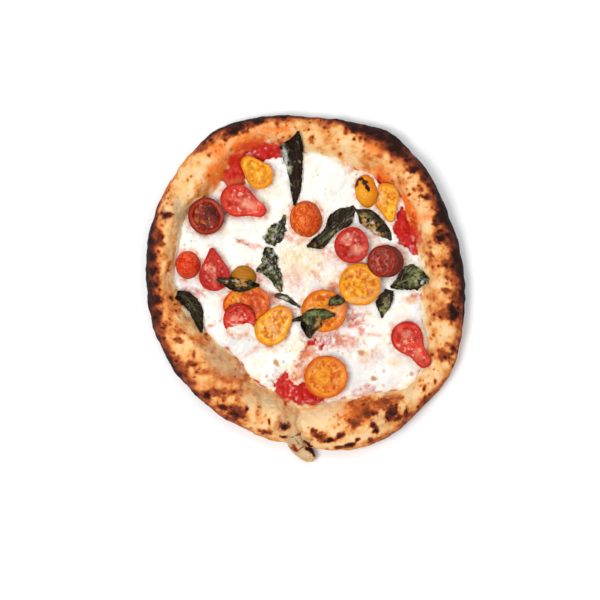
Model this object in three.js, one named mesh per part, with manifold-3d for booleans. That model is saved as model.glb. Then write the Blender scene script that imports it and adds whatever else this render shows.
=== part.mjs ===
// A wood-fired vegetable pizza: a dough crust with a puffed rim, tomato sauce, melted mozzarella,
// roasted cherry tomato halves of several colours and wilted basil leaves.
// Millimetres, +Z up. The pizza lies on z = 0, and +Y is the far side of the plan.
import * as THREE from "three";
import { mergeVertices } from "three/addons/utils/BufferGeometryUtils.js";
import Module from "manifold-3d";

const wasm = await Module();
wasm.setup();

// The disc. Radii run round it from +X, one every STEP_DEG degrees.
const DISC_CENTRE = new THREE.Vector3(0.31, 3.78, 0);
const STEP_DEG = 15;
const RIM_OUTER = [
  130.5, 129.5, 131, 137, 141.5, 139, 138, 142, 146, 142, 138, 134.5,
  131, 131, 129.5, 128.5, 129, 130.5, 134, 141.5, 142, 139, 139.5, 133.5,
];
const RIM_INNER = [
  94, 95, 97, 104, 102, 104, 107, 117, 114, 105.5, 111, 108,
  105.5, 96.5, 87, 80.5, 87.5, 91, 97, 97.5, 103, 117, 112.5, 97.5,
];
const RIM_HEIGHT = [
  20, 21, 22, 21, 21, 19, 18.5, 17, 18, 20, 19.5, 19.5,
  20, 19.5, 21, 23, 22, 20, 19, 23, 22, 16, 15.5, 19,
];
const STATIONS = { crust: 96, sauce: 48, mozzarella: 72 }; // points round each layer
const GAP = 0.3; // clearance between pieces that touch
const EDGE_CLEARANCE = 1.2; // between the sauce and the foot of the rim

// Levels of the layers.
const BASE_TOP = 4;
const SAUCE_TOP = 5.5;
const CHEESE_BOTTOM = SAUCE_TOP + GAP;
const CHEESE_TOP = 8.6;
const TOMATO_FOOT = 6.8;

// The rim's section: how far along its width the crest lies, and how far its foot is tucked in.
const CREST_SHARE = 0.5;
const FOOT_TUCK = 0.2;
const OUTER_STEPS = 9;
const INNER_STEPS = 6;
const BELLY_SHARE = 0.4; // height of the widest point, as a share of the rim's height

// Bubbles baked into the rim, spread round it by a seeded draw.
const BUBBLES = { count: 46, radius: [6, 12], lift: [0.8, 2.8], seed: 11 };
// Where two swellings of the rim meet there is a crease, and a tongue of dough sticks out beside it.
const CREASE = { degrees: 267, radius: 116, half: [20, 2.6, 5.5], level: 22.5 };
const TONGUE = { x: -4.4, y: -134.6, heading: -42, half: [15, 7.4, 5.5], level: 4.8 };

// Mozzarella: gentle swells, thicker lumps and bare places where the sauce shows.
const CHEESE_EDGE = { margin: 1.2, wobble: 0.9, drop: 1.6 };
const CHEESE_RINGS = [0.98, 0.88, 0.75, 0.61, 0.46, 0.31, 0.15];
const SWELLS = { count: 60, radius: [7, 13], lift: [-0.7, 1.1], seed: 5 };
const LUMPS = [
  { x: -51, y: -40, radius: 13, lift: 5 },
  { x: -6.5, y: -37.5, radius: 7, lift: 3.8 },
  { x: 16, y: 88, radius: 16, lift: 1.6 },
  { x: -80, y: 34, radius: 14, lift: 1.2 },
  { x: 62, y: -42, radius: 14, lift: 1.2 },
];
const BARE_PATCHES = [
  { name: "upper left", x: -47, y: 101, half: [25, 15], heading: 22 },
  { name: "right", x: 83, y: 46, half: [28, 7.5], heading: 107 },
  { name: "lower", x: -7, y: -86, half: [18, 11], heading: -12 },
  { name: "lower middle", x: 9, y: -51, half: [13, 7], heading: 20 },
  { name: "beside the orange half", x: 38.5, y: -28, half: [11, 6], heading: 80 },
];
const PATCH_SIDES = 22;
const SAUCE_RINGS = [0.97, 0.86, 0.73, 0.6, 0.46, 0.25];
// Pieces of crushed tomato stand up in the bare patches, up to a height of SAUCE_CHUNK.
const SAUCE_CHUNK = 0.7;
const CHUNKS = { count: 40, radius: [3.5, 6], lift: [0.3, 1], seed: 3 };
const SAUCE_EDGE_DROP = 0.4;

// Tomato halves, from the ones that lie lowest to the ones that lie on others. A half shows its cut
// face or its skin. size is its length, along heading, and its width. A pear-shaped half narrows to
// a round tip at the end that heading points to, and tip is its share of the width. neck is how far
// its sides are drawn in before the tip.
const TOMATO_SIDES = 18;
const COLOURS = { red: 0xd8261c, orange: 0xee7a1c, yellow: 0xf5ab25, dark: 0x5e1414, olive: 0xb8860f };
const TOMATOES = [
  { name: "tomato_orange_left", colour: "orange", at: [-48.5, -16], size: [39, 29], heading: 8 },
  { name: "tomato_red_left", colour: "red", at: [-54.8, -27.6], size: [26.5, 26.5], tilt: [14, 0] },
  {
    name: "tomato_yellow_pear_right", colour: "yellow",
    at: [66.5, 66.5], size: [33, 22], heading: -78, tip: 0.3,
  },
  {
    name: "tomato_yellow_right", colour: "yellow",
    at: [49.9, 75.9], size: [28, 20], heading: 100, skin: true,
  },
  {
    name: "tomato_red_pear_top", colour: "red",
    at: [-50.9, 66.2], size: [39.8, 27], heading: -24, tip: 0.42, neck: 0.8,
  },
  {
    name: "tomato_yellow_pear_top", colour: "yellow",
    at: [-41, 92], size: [31, 22.5], heading: 133, tip: 0.55,
  },
  { name: "tomato_dark_left", colour: "dark", at: [-81.7, 55.5], size: [30, 30.5] },
  { name: "tomato_orange_edge", colour: "orange", at: [-97, 15.6], size: [21, 24], skin: true },
  {
    name: "tomato_red_pear_left", colour: "red",
    at: [-75.5, 12], size: [36, 25.5], heading: 95, tip: 0.22,
  },
  { name: "tomato_olive", colour: "olive", at: [-51.3, 5], size: [21.7, 21.7], skin: true },
  {
    name: "tomato_yellow_middle", colour: "yellow",
    at: [-26, -33.6], size: [36, 27], heading: 52, tip: 0.75,
  },
  { name: "tomato_orange_middle", colour: "orange", at: [14.8, -22], size: [37.5, 35] },
  { name: "tomato_yellow_round", colour: "yellow", at: [44.1, -0.6], size: [34.4, 34.8] },
  { name: "tomato_red_round", colour: "red", at: [37.5, 31.9], size: [30, 28.7], heading: 80, tip: 0.8 },
  { name: "tomato_dark_right", colour: "dark", at: [66.8, 18.5], size: [30, 27], tilt: [0, -12] },
  {
    name: "tomato_orange_top", colour: "orange",
    at: [0, 53.3], size: [31.5, 27.6], heading: 100, skin: true,
  },
  {
    name: "tomato_red_pear_right", colour: "red",
    at: [87.5, -50.5], size: [43.5, 26.5], heading: -54, tip: 0.43, neck: 2,
  },
  { name: "tomato_orange_lower", colour: "orange", at: [16.2, -75.9], size: [35, 35] },
];
const CUT_HALF = { depthShare: 0.27, dish: 0.9, lip: 0.84, bowlRings: 3 };
const SKIN_HALF = { heightShare: 0.46, domeRings: 4 };

// Basil leaves. The midrib runs from the stalk to the tip, and left and right are the widths of the
// blade beside it at even steps along it. curl lifts the edges or, below 0, the midrib.
const LEAF = { thickness: 0.8, cells: [8, 4], wave: 0.5, reach: 0.75 };
const LEAVES = [
  {
    name: "basil_top", curl: 2,
    midrib: [[-9.5, 64.6], [-8.3, 78], [-7.6, 104], [-6.4, 124.8]],
    left: [0.5, 2.4, 4, 5, 6.5, 9, 11, 12, 12, 4.5, 0.4], right: [0.5, 4, 5, 5.2, 4.7, 0.4],
  },
  {
    name: "basil_centre", curl: 2,
    midrib: [[0.7, 30.7], [13, 37.3], [23.3, 47.6], [31.8, 56.1], [40.3, 62.7]],
    left: [0.5, 4.2, 3.8, 8.5, 7, 2], right: [0.5, 6.5, 5, 6.5, 8, 2],
  },
  {
    name: "basil_curled", curl: -2,
    midrib: [[41.2, 60.8], [51.6, 55.1], [60, 48.6], [66.6, 41], [69.9, 35.9]],
    left: [1, 4.7, 6, 5, 4, 1], right: [1, 7, 8.5, 8.5, 5.5, 1],
  },
  {
    name: "basil_right", curl: 1.5,
    midrib: [[69.4, -2.7], [78, 1.5], [85.4, 4.3], [93, 5.2], [100, 3.4]],
    left: [0.5, 4, 9.5, 12, 6, 1], right: [0.5, 5.5, 8, 9, 9, 3],
  },
  {
    name: "basil_right_small", curl: 1.5,
    midrib: [[68, -4.6], [66.1, -11.2], [64.3, -18.7], [62.2, -27.6]],
    left: [4, 5.5, 4.7, 4, 2, 0.4], right: [3, 4.7, 7, 7.5, 3.2, 0.4],
  },
  {
    name: "basil_mid_upper", curl: 1.5,
    midrib: [[-17.8, 56.8], [-19.7, 49.8], [-24.4, 40.4], [-28.2, 31.9]],
    left: [0.5, 2.5, 4.7, 5.5, 5, 2], right: [0.5, 1.8, 6.5, 9, 9.5, 6],
  },
  {
    name: "basil_mid_lower", curl: 1.5,
    midrib: [[-29.6, 30], [-31, 21.5], [-29.1, 13.1], [-24.4, 3.7], [-20.4, -6.7]],
    left: [2, 7, 6.5, 6, 3.6, 0.6], right: [3, 4.5, 10.5, 5.5, 3.2, 0.6],
  },
  {
    name: "basil_sprig", curl: 0.5,
    midrib: [[-25.8, -9], [-17.8, -10.9], [-11.2, -14.7], [-4.6, -19.4]],
    left: [0.5, 2.4, 2.4, 1.8, 1.2, 0.4], right: [0.5, 2.4, 2.4, 1.8, 1.2, 0.4],
  },
  {
    name: "basil_orange_low", curl: 1,
    midrib: [[3.8, -27.4], [3.4, -33.1], [2.4, -38.7], [3.8, -44.8]],
    left: [7, 8.5, 8, 5.5, 3, 0.5], right: [6, 7.5, 7, 5, 3, 0.5],
  },
  {
    name: "basil_orange_long", curl: 1,
    midrib: [[-11.7, -30.2], [-2.7, -27.9], [4.8, -25], [14.2, -25], [24.1, -25.5]],
    left: [0.5, 2, 4.2, 4.8, 3.8, 0.6], right: [0.5, 2, 3, 4.5, 3.8, 0.6],
  },
  {
    name: "basil_orange_small", curl: 1,
    midrib: [[18.4, -17.5], [24.5, -13.8], [31.6, -13.8]],
    left: [0.5, 3, 4, 4, 3, 0.5], right: [0.5, 2, 3.5, 4, 3, 0.5],
  },
  {
    name: "basil_left", curl: 2,
    midrib: [[-106.2, -8.8], [-98.5, -11.2], [-91.9, -19.6], [-88.1, -30], [-85.5, -39.9]],
    left: [3, 4.7, 6, 6, 3, 0.5], right: [3, 6.5, 5, 4.5, 3, 0.5],
  },
  {
    name: "basil_left_middle", curl: 1,
    midrib: [[-73.3, 4.1], [-64.9, 1.8], [-55.5, -0.6], [-47, -1], [-38, -0.9]],
    left: [0.6, 2.5, 4.7, 5.2, 3.6, 0.5], right: [0.6, 3.5, 5.5, 5.2, 3, 0.5],
  },
];

// Finishes of the pieces.
const FINISH = {
  crust: { color: 0xd59a52, roughness: 0.8, metalness: 0 },
  sauce: { color: 0xc8301c, roughness: 0.35, metalness: 0 },
  cheese: { color: 0xf6f0e2, roughness: 0.35, metalness: 0 },
  basil: { color: 0x2c3d1c, roughness: 0.45, metalness: 0 },
};

const radians = THREE.MathUtils.degToRad;

// A value of a list that runs round the disc, joined smoothly from entry to entry.
function around(values, degrees) {
  const count = values.length;
  const place = THREE.MathUtils.euclideanModulo(degrees / STEP_DEG, count);
  const first = Math.floor(place);
  const t = place - first;
  const [a, b, c, d] = [-1, 0, 1, 2].map((k) => values[(first + k + count) % count]);
  return b + 0.5 * t * (c - a + t * (2 * a - 5 * b + 4 * c - d + t * (3 * (b - c) + d - a)));
}

// A seeded generator of numbers from 0 to 1.
function seeded(seed) {
  let state = seed;
  return () => {
    state = (state + 0x6d2b79f5) | 0;
    let t = Math.imul(state ^ (state >>> 15), 1 | state);
    t = (t + Math.imul(t ^ (t >>> 7), 61 | t)) ^ t;
    return ((t ^ (t >>> 14)) >>> 0) / 4294967296;
  };
}

const between = ([low, high], share) => low + (high - low) * share;

// The lift at (x, y) of round swells that each fade out from their middle.
function liftOf(swells, x, y) {
  return swells.reduce((sum, s) => {
    const far = ((x - s.x) ** 2 + (y - s.y) ** 2) / s.radius ** 2;
    return sum + s.lift * Math.exp(-far);
  }, 0);
}

const polar = (radius, degrees) => [
  radius * Math.cos(radians(degrees)),
  radius * Math.sin(radians(degrees)),
];

function geometryOf(points, faces) {
  const geometry = new THREE.BufferGeometry().setFromPoints(points);
  geometry.setIndex(faces);
  return geometry;
}

// Closes a stack of rings with the same number of points between a lower and an upper pole.
function ringSolid(lowerPole, rings, upperPole) {
  const sides = rings[0].length;
  const points = [lowerPole, ...rings.flat(), upperPole];
  const at = (ring, side) => 1 + ring * sides + (side % sides);
  const last = rings.length - 1;
  const faces = [];
  for (let s = 0; s < sides; s++) {
    faces.push(0, at(0, s + 1), at(0, s));
    for (let r = 0; r < last; r++) {
      faces.push(at(r, s), at(r, s + 1), at(r + 1, s));
      faces.push(at(r, s + 1), at(r + 1, s + 1), at(r + 1, s));
    }
    faces.push(points.length - 1, at(last, s), at(last, s + 1));
  }
  return geometryOf(points, faces);
}

// A ring round the disc from functions of the angle in degrees.
function discRing(stations, radiusAt, levelAt) {
  return Array.from({ length: stations }, (_, s) => {
    const degrees = (360 * s) / stations;
    const [x, y] = polar(radiusAt(degrees), degrees);
    return new THREE.Vector3(x, y, levelAt(degrees, x, y));
  });
}

function solidOf(geometry, matrix = new THREE.Matrix4()) {
  const bare = new THREE.BufferGeometry();
  bare.setAttribute("position", geometry.getAttribute("position").clone());
  bare.setIndex(geometry.index);
  const merged = mergeVertices(bare.applyMatrix4(matrix));
  return new wasm.Manifold(
    new wasm.Mesh({
      numProp: 3,
      vertProperties: merged.getAttribute("position").array,
      triVerts: new Uint32Array(merged.index.array),
    }),
  );
}

// The largest body of a solid, as a geometry: scraps that a cut leaves are dropped.
function geometryFrom(solid) {
  const largest = solid.decompose().reduce((a, b) => (a.volume() > b.volume() ? a : b));
  const mesh = largest.getMesh();
  const geometry = new THREE.BufferGeometry();
  geometry.setAttribute("position", new THREE.BufferAttribute(mesh.vertProperties, 3));
  geometry.setIndex(new THREE.BufferAttribute(mesh.triVerts, 1));
  return geometry;
}

function piece(name, geometry, finish) {
  const material = new THREE.MeshStandardMaterial({ ...finish, flatShading: true });
  const mesh = new THREE.Mesh(geometry, material);
  mesh.name = name;
  return mesh;
}

const ellipsoid = (half, columns = 16, rows = 10) =>
  new THREE.SphereGeometry(1, columns, rows).scale(...half);

const turnedAt = (degrees, x, y, z) =>
  new THREE.Matrix4().makeRotationZ(radians(degrees)).setPosition(x, y, z);

// A swell list drawn with a seed, placed by a function of two numbers from 0 to 1.
function drawSwells({ count, radius, lift, seed }, placeAt) {
  const draw = seeded(seed);
  return Array.from({ length: count }, () => {
    const [x, y] = placeAt(draw(), draw());
    return { x, y, radius: between(radius, draw()), lift: between(lift, draw()) };
  });
}

function makeCrust(tomatoes) {
  const bubbles = drawSwells(BUBBLES, (turn, across) => {
    const degrees = 360 * turn;
    const rim = [around(RIM_INNER, degrees), around(RIM_OUTER, degrees)];
    return polar(between(rim, 0.25 + 0.6 * across), degrees);
  });
  const width = (d) => around(RIM_OUTER, d) - around(RIM_INNER, d);
  const crest = (d) => around(RIM_OUTER, d) - CREST_SHARE * width(d);
  const rings = [];
  for (let i = 0; i <= OUTER_STEPS; i++) {
    const turn = radians(-90 + (180 * i) / OUTER_STEPS);
    const [out, up] = [Math.cos(turn), Math.sin(turn)];
    const reach = up < 0 ? FOOT_TUCK + (1 - FOOT_TUCK) * Math.sqrt(Math.max(out, 0)) : out;
    const share = up < 0 ? BELLY_SHARE * (1 + up) : BELLY_SHARE + (1 - BELLY_SHARE) * up;
    rings.push(
      discRing(
        STATIONS.crust,
        (d) => crest(d) + CREST_SHARE * width(d) * reach,
        (d, x, y) => share * (around(RIM_HEIGHT, d) + liftOf(bubbles, x, y)),
      ),
    );
  }
  for (let i = 1; i <= INNER_STEPS; i++) {
    const s = i / INNER_STEPS;
    const share = Math.cos((Math.PI / 2) * s) ** 0.9;
    rings.push(
      discRing(
        STATIONS.crust,
        (d) => crest(d) - s * (crest(d) - around(RIM_INNER, d)),
        (d, x, y) => BASE_TOP + share * (around(RIM_HEIGHT, d) - BASE_TOP + liftOf(bubbles, x, y)),
      ),
    );
  }
  const disc = solidOf(ringSolid(new THREE.Vector3(), rings, new THREE.Vector3(0, 0, BASE_TOP)));

  const [creaseX, creaseY] = polar(CREASE.radius, CREASE.degrees);
  const creaseMatrix = turnedAt(CREASE.degrees, creaseX, creaseY, CREASE.level);
  const tongueMatrix = turnedAt(TONGUE.heading, TONGUE.x, TONGUE.y, TONGUE.level);
  let crust = disc
    .add(solidOf(ellipsoid(TONGUE.half), tongueMatrix))
    .subtract(solidOf(ellipsoid(CREASE.half), creaseMatrix));
  tomatoes.forEach((tomato) => (crust = crust.subtract(seatOf(tomato))));
  const floor = new THREE.BoxGeometry(400, 400, 20).translate(0, 0, -10);
  return piece("crust", geometryFrom(crust.subtract(solidOf(floor))), FINISH.crust);
}

function makeSauce() {
  const edge = (d) => around(RIM_INNER, d) - EDGE_CLEARANCE;
  const chunks = drawSwells(CHUNKS, (pick, turn) => {
    const patch = BARE_PATCHES[Math.floor(pick * BARE_PATCHES.length)];
    const [x, y] = polar(0.5 * patch.half[1], 360 * turn);
    return [patch.x + x, patch.y + y];
  });
  const chunkShare = (x, y) => Math.min(1, liftOf(chunks, x, y)) * bareShare(x, y);
  const level = (_, x, y) => SAUCE_TOP + SAUCE_CHUNK * chunkShare(x, y);
  const rings = [
    discRing(STATIONS.sauce, edge, () => BASE_TOP + GAP),
    discRing(STATIONS.sauce, edge, () => SAUCE_TOP - SAUCE_EDGE_DROP),
    ...SAUCE_RINGS.map((share) => discRing(STATIONS.sauce, (d) => share * edge(d), level)),
  ];
  const centre = new THREE.Vector3(0, 0, BASE_TOP + GAP);
  return piece("sauce", ringSolid(centre, rings, new THREE.Vector3(0, 0, SAUCE_TOP)), FINISH.sauce);
}

// 1 well inside a bare patch of sauce, and 0 before its edge.
function bareShare(x, y) {
  return BARE_PATCHES.reduce((most, patch) => {
    const turn = radians(-patch.heading);
    const [dx, dy] = [x - patch.x, y - patch.y];
    const u = (dx * Math.cos(turn) - dy * Math.sin(turn)) / patch.half[0];
    const v = (dx * Math.sin(turn) + dy * Math.cos(turn)) / patch.half[1];
    return Math.max(most, THREE.MathUtils.clamp(2 - 2.6 * Math.hypot(u, v), 0, 1));
  }, 0);
}

// A prism with a wavy elliptical outline that bares the sauce through the mozzarella.
function patchCutter(patch) {
  const wave = seeded(Math.round(Math.abs(patch.x * 7 + patch.y)));
  const outline = Array.from({ length: PATCH_SIDES }, (_, s) => {
    const turn = (2 * Math.PI * s) / PATCH_SIDES;
    const reach = 0.9 + 0.2 * wave();
    const [x, y] = [patch.half[0] * Math.cos(turn), patch.half[1] * Math.sin(turn)];
    return new THREE.Vector2(reach * x, reach * y);
  });
  const shape = new THREE.Shape(outline);
  const prism = new THREE.ExtrudeGeometry(shape, { depth: 20, bevelEnabled: false });
  return solidOf(prism, turnedAt(patch.heading, patch.x, patch.y, SAUCE_TOP - 2));
}

function makeCheese(sauce, tomatoes) {
  const placeAt = (turn, out) => polar(around(RIM_INNER, 360 * turn) * Math.sqrt(out), 360 * turn);
  const swells = [...LUMPS, ...drawSwells(SWELLS, placeAt)];
  const edge = (d) => {
    const wave = 1 + Math.sin(radians(11 * d)) * Math.cos(radians(7 * d));
    return around(RIM_INNER, d) - CHEESE_EDGE.margin - CHEESE_EDGE.wobble * wave;
  };
  const level = (_, x, y) => CHEESE_TOP + liftOf(swells, x, y);
  const rings = [
    discRing(STATIONS.mozzarella, edge, () => CHEESE_BOTTOM),
    discRing(STATIONS.mozzarella, edge, () => CHEESE_TOP - CHEESE_EDGE.drop),
    ...CHEESE_RINGS.map((share) => discRing(STATIONS.mozzarella, (d) => share * edge(d), level)),
  ];
  const centre = new THREE.Vector3(0, 0, CHEESE_BOTTOM);
  let cheese = solidOf(ringSolid(centre, rings, new THREE.Vector3(0, 0, level(0, 0, 0))));
  const overSauce = new THREE.Matrix4().makeTranslation(0, 0, GAP - 0.05);
  cheese = cheese.subtract(solidOf(sauce.geometry, overSauce));
  BARE_PATCHES.forEach((patch) => (cheese = cheese.subtract(patchCutter(patch))));
  tomatoes.forEach((tomato) => (cheese = cheese.subtract(seatOf(tomato))));
  return piece("mozzarella", geometryFrom(cheese), FINISH.cheese);
}

// Half the width of a tomato half at x along it: an ellipse or, with a tip, a round bulb at -X and a
// round tip at +X joined by sides that touch both and are drawn in between by the neck.
function halfWidth({ size: [length, width], tip, neck = 0 }, x) {
  const bulb = width / 2;
  const disc = (radius, middle) => Math.sqrt(Math.max(0, radius ** 2 - (x - middle) ** 2));
  if (!tip) return (disc(length / 2, 0) * width) / length;
  const end = bulb * tip;
  const [bulbAt, endAt] = [bulb - length / 2, length / 2 - end];
  const lean = Math.asin((bulb - end) / (endAt - bulbAt));
  const [from, to] = [bulbAt + bulb * Math.sin(lean), endAt + end * Math.sin(lean)];
  if (x < from) return disc(bulb, bulbAt);
  if (x > to) return disc(end, endAt);
  const drawnIn = neck * Math.sin((Math.PI * (x - from)) / (to - from)) ** 2;
  return bulb / Math.cos(lean) - (x - bulbAt) * Math.tan(lean) - drawnIn;
}

// One ring of a tomato half, at a share of its size.
function tomatoRing(tomato, share, level) {
  return Array.from({ length: TOMATO_SIDES }, (_, s) => {
    const turn = (2 * Math.PI * s) / TOMATO_SIDES;
    const x = (tomato.size[0] * Math.cos(turn)) / 2;
    const y = Math.sign(Math.sin(turn)) * halfWidth(tomato, x);
    return new THREE.Vector3(share * x, share * y, level);
  });
}

// A half with its cut face up: a bowl of skin whose face is dished inside a lip.
function cutHalf(tomato) {
  const depth = CUT_HALF.depthShare * tomato.size[1];
  const rings = [];
  for (let i = 1; i <= CUT_HALF.bowlRings; i++) {
    const turn = (Math.PI / 2) * (i / CUT_HALF.bowlRings);
    rings.push(tomatoRing(tomato, Math.sin(turn), depth * (1 - Math.cos(turn))));
  }
  rings.push(tomatoRing(tomato, CUT_HALF.lip, depth - CUT_HALF.dish));
  return ringSolid(new THREE.Vector3(), rings, new THREE.Vector3(0, 0, depth - CUT_HALF.dish));
}

// A half with its skin up: a dome on a flat cut face.
function skinHalf(tomato) {
  const height = SKIN_HALF.heightShare * tomato.size[1];
  const rings = [];
  for (let i = 0; i < SKIN_HALF.domeRings; i++) {
    const turn = (Math.PI / 2) * (i / SKIN_HALF.domeRings);
    rings.push(tomatoRing(tomato, Math.cos(turn), height * Math.sin(turn)));
  }
  return ringSolid(new THREE.Vector3(), rings, new THREE.Vector3(0, 0, height));
}

function makeTomato(tomato) {
  const [tiltX, tiltY] = tomato.tilt ?? [0, 0];
  const finish = { color: COLOURS[tomato.colour], roughness: 0.25, metalness: 0 };
  const mesh = piece(tomato.name, tomato.skin ? skinHalf(tomato) : cutHalf(tomato), finish);
  mesh.rotation.set(radians(tiltX), radians(tiltY), radians(tomato.heading ?? 0), "ZXY");
  const steepest = radians(Math.max(Math.abs(tiltX), Math.abs(tiltY)));
  const rise = (tomato.size[1] / 2) * (1 - Math.cos(steepest));
  mesh.position.set(...tomato.at, TOMATO_FOOT + rise);
  mesh.updateMatrix();
  mesh.userData = { ...tomato, whole: mesh.geometry };
  return mesh;
}

// The room that a tomato half takes up in what it is bedded in: the half itself, a gap larger.
function seatOf(mesh) {
  const { size, whole } = mesh.userData;
  const middle = new THREE.Vector3();
  new THREE.Box3().setFromBufferAttribute(whole.getAttribute("position")).getCenter(middle);
  const grow = 1 + (2.4 * GAP) / Math.min(...size);
  const grown = new THREE.Matrix4()
    .makeTranslation(middle)
    .scale(new THREE.Vector3(grow, grow, grow + GAP / middle.z))
    .multiply(new THREE.Matrix4().makeTranslation(middle.clone().negate()));
  return solidOf(whole, mesh.matrix.clone().multiply(grown));
}

// Each tomato half is cut back where one that lies on it takes its place.
function fitTomatoes(tomatoes) {
  tomatoes.forEach((lower, i) => {
    const inverse = lower.matrix.clone().invert();
    tomatoes.slice(i + 1).forEach((upper) => {
      const reach = (lower.userData.size[0] + upper.userData.size[0]) / 2 + GAP;
      if (lower.position.distanceTo(upper.position) > reach) return;
      const room = seatOf(upper);
      const solid = solidOf(lower.geometry, lower.matrix);
      if (solid.intersect(room).isEmpty()) return;
      lower.geometry = geometryFrom(solid.subtract(room)).applyMatrix4(inverse);
    });
  });
}

// A value of a list whose entries lie at even steps from 0 to 1, joined smoothly.
function along(values, share) {
  const points = values.map((value, k) => new THREE.Vector2(k, value));
  return new THREE.SplineCurve(points).getPoint(share).y;
}

// A leaf's plan: a place beside the midrib, v of the way from it to the left (1) or right (-1) edge.
function leafPlan(leaf, u, v) {
  const midrib = new THREE.SplineCurve(leaf.midrib.map(([x, y]) => new THREE.Vector2(x, y)));
  const heading = midrib.getTangentAt(u);
  const side = v * along(v > 0 ? leaf.left : leaf.right, u);
  return midrib.getPointAt(u).addScaledVector(new THREE.Vector2(-heading.y, heading.x), side);
}

// A thin wavy leaf that lies on whatever is under it. heightUnder gives that level at (x, y).
function makeLeaf(leaf, heightUnder) {
  const [long, wide] = LEAF.cells;
  const lower = [];
  for (let i = 0; i <= long; i++) {
    for (let j = 0; j <= wide; j++) {
      const [u, v] = [i / long, (2 * j) / wide - 1];
      const at = leafPlan(leaf, u, v);
      const samples = [];
      for (const du of [-1, -0.5, 0, 0.5, 1]) {
        const nearU = THREE.MathUtils.clamp(u + (du * LEAF.reach) / long, 0, 1);
        for (const dv of [-1, -0.5, 0, 0.5, 1]) {
          const near = leafPlan(leaf, nearU, v + (dv * 2 * LEAF.reach) / wide);
          samples.push(heightUnder(near.x, near.y));
        }
      }
      const wave = LEAF.wave * (1 + Math.sin(9 * u + 4 * v));
      const curl = leaf.curl > 0 ? leaf.curl * v * v : -leaf.curl * (1 - v * v);
      lower.push(new THREE.Vector3(at.x, at.y, Math.max(...samples) + GAP + wave + curl));
    }
  }
  const upper = lower.map((p) => p.clone().setZ(p.z + LEAF.thickness));
  return piece(leaf.name, sheetSolid(upper, lower, long, wide), FINISH.basil);
}

// Joins an upper and a lower grid of points, both split into triangles alike, round their edges.
function sheetSolid(upper, lower, long, wide) {
  const row = wide + 1;
  const under = upper.length;
  const faces = [];
  for (let i = 0; i < long; i++) {
    for (let j = 0; j < wide; j++) {
      const [a, b] = [i * row + j, (i + 1) * row + j];
      const [c, d] = [b + 1, a + 1];
      faces.push(a, b, c, a, c, d);
      faces.push(under + a, under + c, under + b, under + a, under + d, under + c);
    }
  }
  const edge = [];
  for (let i = 0; i < long; i++) edge.push(i * row);
  for (let j = 0; j < wide; j++) edge.push(long * row + j);
  for (let i = long; i > 0; i--) edge.push(i * row + wide);
  for (let j = wide; j > 0; j--) edge.push(j);
  edge.forEach((a, k) => {
    const b = edge[(k + 1) % edge.length];
    faces.push(a, under + a, under + b, a, under + b, b);
  });
  return geometryOf([...upper, ...lower], faces);
}

// A function that gives the highest level of the meshes at a place in plan.
function levelFinder(meshes) {
  const ray = new THREE.Raycaster();
  const down = new THREE.Vector3(0, 0, -1);
  const from = new THREE.Vector3();
  meshes.forEach((mesh) => mesh.updateMatrixWorld(true));
  return (x, y) => {
    ray.set(from.set(x, y, 200), down);
    const [hit] = ray.intersectObjects(meshes, false);
    return hit ? hit.point.z : 0;
  };
}

const tomatoes = TOMATOES.map(makeTomato);
fitTomatoes(tomatoes);
const sauce = makeSauce();
const laid = [makeCrust(tomatoes), sauce, makeCheese(sauce, tomatoes), ...tomatoes];
LEAVES.forEach((leaf) => laid.push(makeLeaf(leaf, levelFinder(laid))));

const pizza = new THREE.Group();
pizza.name = "vegetable_pizza";
const disc = new THREE.Group();
disc.position.copy(DISC_CENTRE);
disc.add(...laid);
pizza.add(disc);

export default pizza;
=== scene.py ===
"""Dresses the solids of a wood-fired vegetable pizza: baked dough, sauce, mozzarella, tomato and basil."""

import math
from collections import namedtuple

import bpy
import numpy as np
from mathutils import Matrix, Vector


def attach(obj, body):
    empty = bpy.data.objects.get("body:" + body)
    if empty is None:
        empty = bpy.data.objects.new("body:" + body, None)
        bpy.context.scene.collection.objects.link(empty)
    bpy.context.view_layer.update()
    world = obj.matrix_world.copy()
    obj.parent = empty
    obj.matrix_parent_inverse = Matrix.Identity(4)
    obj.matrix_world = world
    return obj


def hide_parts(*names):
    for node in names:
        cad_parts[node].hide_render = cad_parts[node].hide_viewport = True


bl_info = {
    "name": "Vegetable Pizza",
    "version": (1, 0, 0),
    "blender": (4, 5, 0),
    "location": "View3D > Sidebar > Pizza",
    "description": "Builds the baked surfaces of a vegetable pizza over its solids",
    "category": "Add Mesh",
}

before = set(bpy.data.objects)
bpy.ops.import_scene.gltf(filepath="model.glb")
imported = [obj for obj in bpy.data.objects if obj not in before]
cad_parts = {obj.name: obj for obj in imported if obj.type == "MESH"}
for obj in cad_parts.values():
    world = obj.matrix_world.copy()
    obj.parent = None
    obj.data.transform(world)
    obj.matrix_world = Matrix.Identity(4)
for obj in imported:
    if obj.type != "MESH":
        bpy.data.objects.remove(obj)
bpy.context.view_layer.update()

# Whole numbers of 32 bits, for the random draws.
WORD = 0xFFFFFFFF

# Lengths are millimetres from the middle of the disc, and the meshes are metres in the frame.
MM = 0.001
DISC_CENTRE = np.array([0.31, 3.78, 0.0])
PHOTO_PIXEL = 0.82
PHOTO_WIDTH = 600
PHOTO_DISC = (306, 284)

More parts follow.
